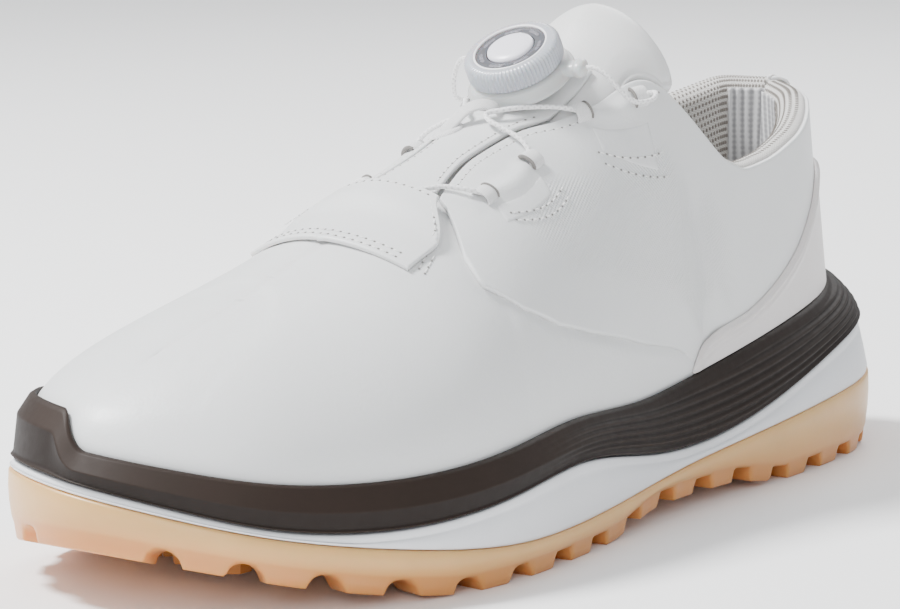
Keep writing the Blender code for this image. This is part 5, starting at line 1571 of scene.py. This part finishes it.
# ---------------------------------------------------------------- dial
def make_dial():
    """The dial's turned parts, and its base with the two lace outlets."""
    look = bpy.context.scene.golf_shoe
    grips = look.knob_grips
    steps = grips * 6

    def knurl(angles, row):
        depth = {3: 0.10, 4: 0.22, 5: 0.26, 6: 0.26, 7: 0.22, 8: 0.10}.get(row, 0.0)
        return depth * np.cos(angles * grips)

    profile = [(9.25, 8.1), (9.25, 9.55), (9.8, 9.95), (11.2, 9.7), (12.0, 9.2), (12.4, 8.5), (12.45, 6.6), (12.4, 4.7),
               (12.2, 4.2), (11.4, 4.1), (11.35, 7.0), (2.9, 7.1), (2.9, 8.0)]
    knob = turned("frosted_knob", profile, finish("knob"), steps=steps, ripple=knurl)
    finish_piece(knob, TURNER, "clear_plastic", "dial_knob")

    ring = turned("smoked_window_ring", [(9.15, 9.35), (9.15, 8.2), (6.5, 8.2), (6.4, 9.45), (6.6, 9.6), (8.9, 9.5)],
                  finish("smoke"))
    finish_piece(ring, TURNER, "smoked_plastic", "dial_window")
    spots = []
    along = []
    for k in range(7):
        angle = 2 * math.pi * (k + 0.3) / 7
        for part in (-0.16, 0.0, 0.16):
            spots.append(dial_point(7.75, angle + part, 9.55))
            along.append(-ACROSS * math.sin(angle + part) + UPSLOPE * math.cos(angle + part))
    ups = np.tile(LEAN, (len(spots), 1))
    scatter("window_segments", "bead", spots, along, ups, (2.0, 1.1, 0.14), finish("segment"), body=TURNER,
            slot="white_plastic")
    cap = turned("dial_cap_disc", [(0.001, 10.75), (2.0, 10.72), (4.2, 10.55), (5.5, 10.3), (6.0, 9.95), (6.15, 9.5),
                                   (6.1, 9.2), (0.001, 9.2)], finish("cap"), closed=False)
    finish_piece(cap, TURNER, "white_plastic", "dial_cap")
    rim = turned("dial_white_rim", [(9.2, 9.45), (9.3, 9.95), (9.65, 10.05), (9.85, 9.85), (9.6, 9.4)], finish("rim"))
    finish_piece(rim, TURNER, "white_plastic")
    base = turned("dial_base_shell", [(10.8, 6.4), (10.8, 3.6), (12.6, 3.4), (12.95, 2.9), (13.1, 1.6), (13.7, 1.0),
                                      (14.2, 0.5), (14.0, 0.05), (1.5, 0.3), (1.5, 5.2), (2.6, 5.2), (2.6, 1.7),
                                      (9.6, 1.7), (9.6, 6.4)], finish("base"))
    finish_piece(base, SHOE, "clear_plastic", "dial_base")
    for name, angle in (("lateral", BOSS_ANGLE), ("medial", math.pi - BOSS_ANGLE)):
        ends = [dial_point(reach, angle, BOSS_HEIGHT) for reach in (11.0, 13.0, 15.4, BOSS_REACH)]
        for label, path, width, height in (("lace_outlet_", even_path(ends, 0.6), 4.6, 3.6),
                                           ("lace_outlet_collar_", even_path(ends[-2:], 0.5)[-3:], 5.4, 4.3)):
            made = sweep(label + name, path, oval(width, height, 20, 0.8), finish("base"), LEAN)
            finish_piece(made, SHOE, "clear_plastic")


# ---------------------------------------------------------------- nodes that stay as they are
def dress_frame():
    """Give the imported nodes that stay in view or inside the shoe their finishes."""
    kept = {
        "shank": "shank", "lasting_board": "board", "heel_stiffener": "board", "toe_puff": "board",
        "insole_foam": "pad", "insole_cover": "inner_net", "vamp_lining": "inner_net", "dial_spool": "rim",
        "dial_ratchet": "rim", "dial_screw": "steel",
    }
    for node, look in kept.items():
        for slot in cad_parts[node].material_slots:
            slot.material = finish(look)


# ---------------------------------------------------------------- stage
def aimed(placed, aim):
    """Put an object's rotation so that it looks at a point."""
    placed.rotation_euler = (Vector(aim) - placed.location).to_track_quat("-Z", "Y").to_euler()


def make_stage():
    """A pale floor, four soft lights, an even surround and the camera."""
    scene = bpy.context.scene
    mesh = bpy.data.meshes.new("pale_floor")
    work = bmesh.new()
    bmesh.ops.create_circle(work, cap_ends=True, segments=64, radius=12.0)
    work.to_mesh(mesh)
    work.free()
    made, tree, shader = start_material("pale_backdrop", (0.9, 0.9, 0.9), 0.8)
    cloud = noise(tree, mapped(tree), 3.0, 2.0)
    tree.links.new(ramp(tree, cloud, [(0.3, (0.93, 0.93, 0.93)), (0.7, (0.95, 0.95, 0.95))]),
                   shader.inputs["Base Color"])
    mesh.materials.append(made)
    link_object("pale_floor", mesh)

    camera_data = bpy.data.cameras.new("camera")
    camera_data.lens = CAMERA_LENS
    camera_data.sensor_width = 36.0
    camera = link_object("camera", camera_data)
    camera.location = CAMERA_PLACE
    aimed(camera, CAMERA_AIM)
    scene.camera = camera
    world = bpy.data.worlds.new("soft_surround")
    world.use_nodes = True
    sky = world.node_tree.nodes["Background"]
    sky.inputs["Color"].default_value = (0.95, 0.97, 1.0, 1.0)
    sky.inputs["Strength"].default_value = scene.golf_shoe.surround_light
    scene.world = world
    for name, place, power, width in LIGHTS:
        data = bpy.data.lights.new(name, "AREA")
        data.energy = power
        data.shape = "DISK"
        data.size = width
        light = link_object(name, data)
        light.location = place
        aimed(light, LIGHTS_AIM)


# ---------------------------------------------------------------- add-on
class GolfShoeSettings(bpy.types.PropertyGroup):
    """Sizes and colours that a user would change."""
    rim_columns: IntProperty(name="Sole columns", description="Divisions round the sole", default=900, min=120)
    knob_grips: IntProperty(name="Knob grips", description="Grip ridges round the dial's knob", default=72, min=12)
    lace_diameter: FloatProperty(name="Lace diameter", description="Thickness of the lace", default=0.00125,
                                 subtype="DISTANCE", unit="LENGTH")
    stitch_pitch: FloatProperty(name="Stitch pitch", description="Distance from stitch to stitch", default=0.0025,
                                subtype="DISTANCE", unit="LENGTH")
    stitch_length: FloatProperty(name="Stitch length", description="Length of one stitch", default=0.0015,
                                 subtype="DISTANCE", unit="LENGTH")
    leather_colour: FloatVectorProperty(name="Leather", description="Colour of the upper", subtype="COLOR", size=3,
                                        default=(0.74, 0.74, 0.735))
    heel_colour: FloatVectorProperty(name="Heel cup", description="Colour of the heel cup", subtype="COLOR", size=3,
                                     default=(0.70, 0.655, 0.64))
    lining_colour: FloatVectorProperty(name="Lining", description="Colour of the collar's knit", subtype="COLOR",
                                       size=3, default=(0.70, 0.68, 0.65))
    gum_colour: FloatVectorProperty(name="Gum", description="Colour of the outsole", subtype="COLOR", size=3,
                                    default=(0.70, 0.36, 0.125))
    midsole_colour: FloatVectorProperty(name="Midsole", description="Colour of the midsole", subtype="COLOR", size=3,
                                        default=(0.72, 0.735, 0.76))
    band_colour: FloatVectorProperty(name="Sole band", description="Colour of the dark band", subtype="COLOR", size=3,
                                     default=(0.020, 0.012, 0.0085))
    dial_colour: FloatVectorProperty(name="Dial", description="Colour of the frosted knob", subtype="COLOR", size=3,
                                     default=(0.62, 0.61, 0.66))
    surround_light: FloatProperty(name="Surround light", description="Strength of the even light", default=0.8)


class GOLFSHOE_OT_stage(bpy.types.Operator):
    """Set the floor, the lights and the camera"""
    bl_idname = "golf_shoe.stage"
    bl_label = "Stage"

    def execute(self, context):
        make_stage()
        return {"FINISHED"}


class GOLFSHOE_OT_sole(bpy.types.Operator):
    """Make the gum outsole with its lugs, and the midsole"""
    bl_idname = "golf_shoe.sole"
    bl_label = "Sole"

    def execute(self, context):
        make_sole()
        return {"FINISHED"}


class GOLFSHOE_OT_band(bpy.types.Operator):
    """Make the dark band round the shoe"""
    bl_idname = "golf_shoe.band"
    bl_label = "Sole band"

    def execute(self, context):
        make_band()
        return {"FINISHED"}


class GOLFSHOE_OT_upper(bpy.types.Operator):
    """Make the two quarters and the vamp"""
    bl_idname = "golf_shoe.upper"
    bl_label = "Upper"

    def execute(self, context):
        make_quarters()
        make_vamp()
        return {"FINISHED"}


class GOLFSHOE_OT_heel(bpy.types.Operator):
    """Make the heel cup and the strip above it"""
    bl_idname = "golf_shoe.heel"
    bl_label = "Heel"

    def execute(self, context):
        make_heel()
        make_heel_strip()
        return {"FINISHED"}


class GOLFSHOE_OT_collar(bpy.types.Operator):
    """Make the padded collar with its knit and net linings"""
    bl_idname = "golf_shoe.collar"
    bl_label = "Collar"

    def execute(self, context):
        make_collar()
        make_collar_details()
        return {"FINISHED"}


class GOLFSHOE_OT_tongue(bpy.types.Operator):
    """Make the padded tongue"""
    bl_idname = "golf_shoe.tongue"
    bl_label = "Tongue"

    def execute(self, context):
        make_tongue()
        return {"FINISHED"}


class GOLFSHOE_OT_panels(bpy.types.Operator):
    """Make the dial panel and the throat patch"""
    bl_idname = "golf_shoe.panels"
    bl_label = "Panels"

    def execute(self, context):
        make_panels()
        return {"FINISHED"}


class GOLFSHOE_OT_guides(bpy.types.Operator):
    """Make the lace loops, their tabs and the centre strap"""
    bl_idname = "golf_shoe.guides"
    bl_label = "Lace guides"

    def execute(self, context):
        make_guides()
        make_hook()
        return {"FINISHED"}


class GOLFSHOE_OT_lace(bpy.types.Operator):
    """Make the lace"""
    bl_idname = "golf_shoe.lace"
    bl_label = "Lace"

    def execute(self, context):
        make_lace()
        return {"FINISHED"}


class GOLFSHOE_OT_stitches(bpy.types.Operator):
    """Make the stitches and their needle holes"""
    bl_idname = "golf_shoe.stitches"
    bl_label = "Stitches"

    def execute(self, context):
        make_stitches()
        return {"FINISHED"}


class GOLFSHOE_OT_dial(bpy.types.Operator):
    """Make the dial's knob, ring, cap, base and lace outlets"""
    bl_idname = "golf_shoe.dial"
    bl_label = "Dial"

    def execute(self, context):
        make_dial()
        return {"FINISHED"}


class GOLFSHOE_OT_kept_parts(bpy.types.Operator):
    """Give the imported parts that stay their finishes"""
    bl_idname = "golf_shoe.kept_parts"
    bl_label = "Kept parts"

    def execute(self, context):
        dress_frame()
        return {"FINISHED"}


OPERATORS = (
    GOLFSHOE_OT_stage,
    GOLFSHOE_OT_sole,
    GOLFSHOE_OT_band,
    GOLFSHOE_OT_upper,
    GOLFSHOE_OT_heel,
    GOLFSHOE_OT_collar,
    GOLFSHOE_OT_tongue,
    GOLFSHOE_OT_panels,
    GOLFSHOE_OT_guides,
    GOLFSHOE_OT_lace,
    GOLFSHOE_OT_stitches,
    GOLFSHOE_OT_dial,
    GOLFSHOE_OT_kept_parts,
)


class GOLFSHOE_PT_sidebar(bpy.types.Panel):
    """The steps that build the golf shoe, with its settings"""
    bl_idname = "GOLFSHOE_PT_sidebar"
    bl_label = "Golf shoe"
    bl_space_type = "VIEW_3D"
    bl_region_type = "UI"
    bl_category = "Golf shoe"

    def draw(self, context):
        look = context.scene.golf_shoe
        for key in look.__annotations__:
            self.layout.prop(look, key)
        for kind in OPERATORS:
            self.layout.operator(kind.bl_idname)


CLASSES = (GolfShoeSettings, *OPERATORS, GOLFSHOE_PT_sidebar)


def register():
    for kind in CLASSES:
        bpy.utils.register_class(kind)
    bpy.types.Scene.golf_shoe = PointerProperty(type=GolfShoeSettings)


def unregister():
    del bpy.types.Scene.golf_shoe
    for kind in reversed(CLASSES):
        bpy.utils.unregister_class(kind)


def main():
    register()
    bpy.ops.golf_shoe.stage()
    bpy.ops.golf_shoe.sole()
    bpy.ops.golf_shoe.band()
    bpy.ops.golf_shoe.upper()
    bpy.ops.golf_shoe.heel()
    bpy.ops.golf_shoe.collar()
    bpy.ops.golf_shoe.tongue()
    bpy.ops.golf_shoe.panels()
    bpy.ops.golf_shoe.guides()
    bpy.ops.golf_shoe.lace()
    bpy.ops.golf_shoe.stitches()
    bpy.ops.golf_shoe.dial()
    bpy.ops.golf_shoe.kept_parts()


if __name__ == "__main__":
    main()
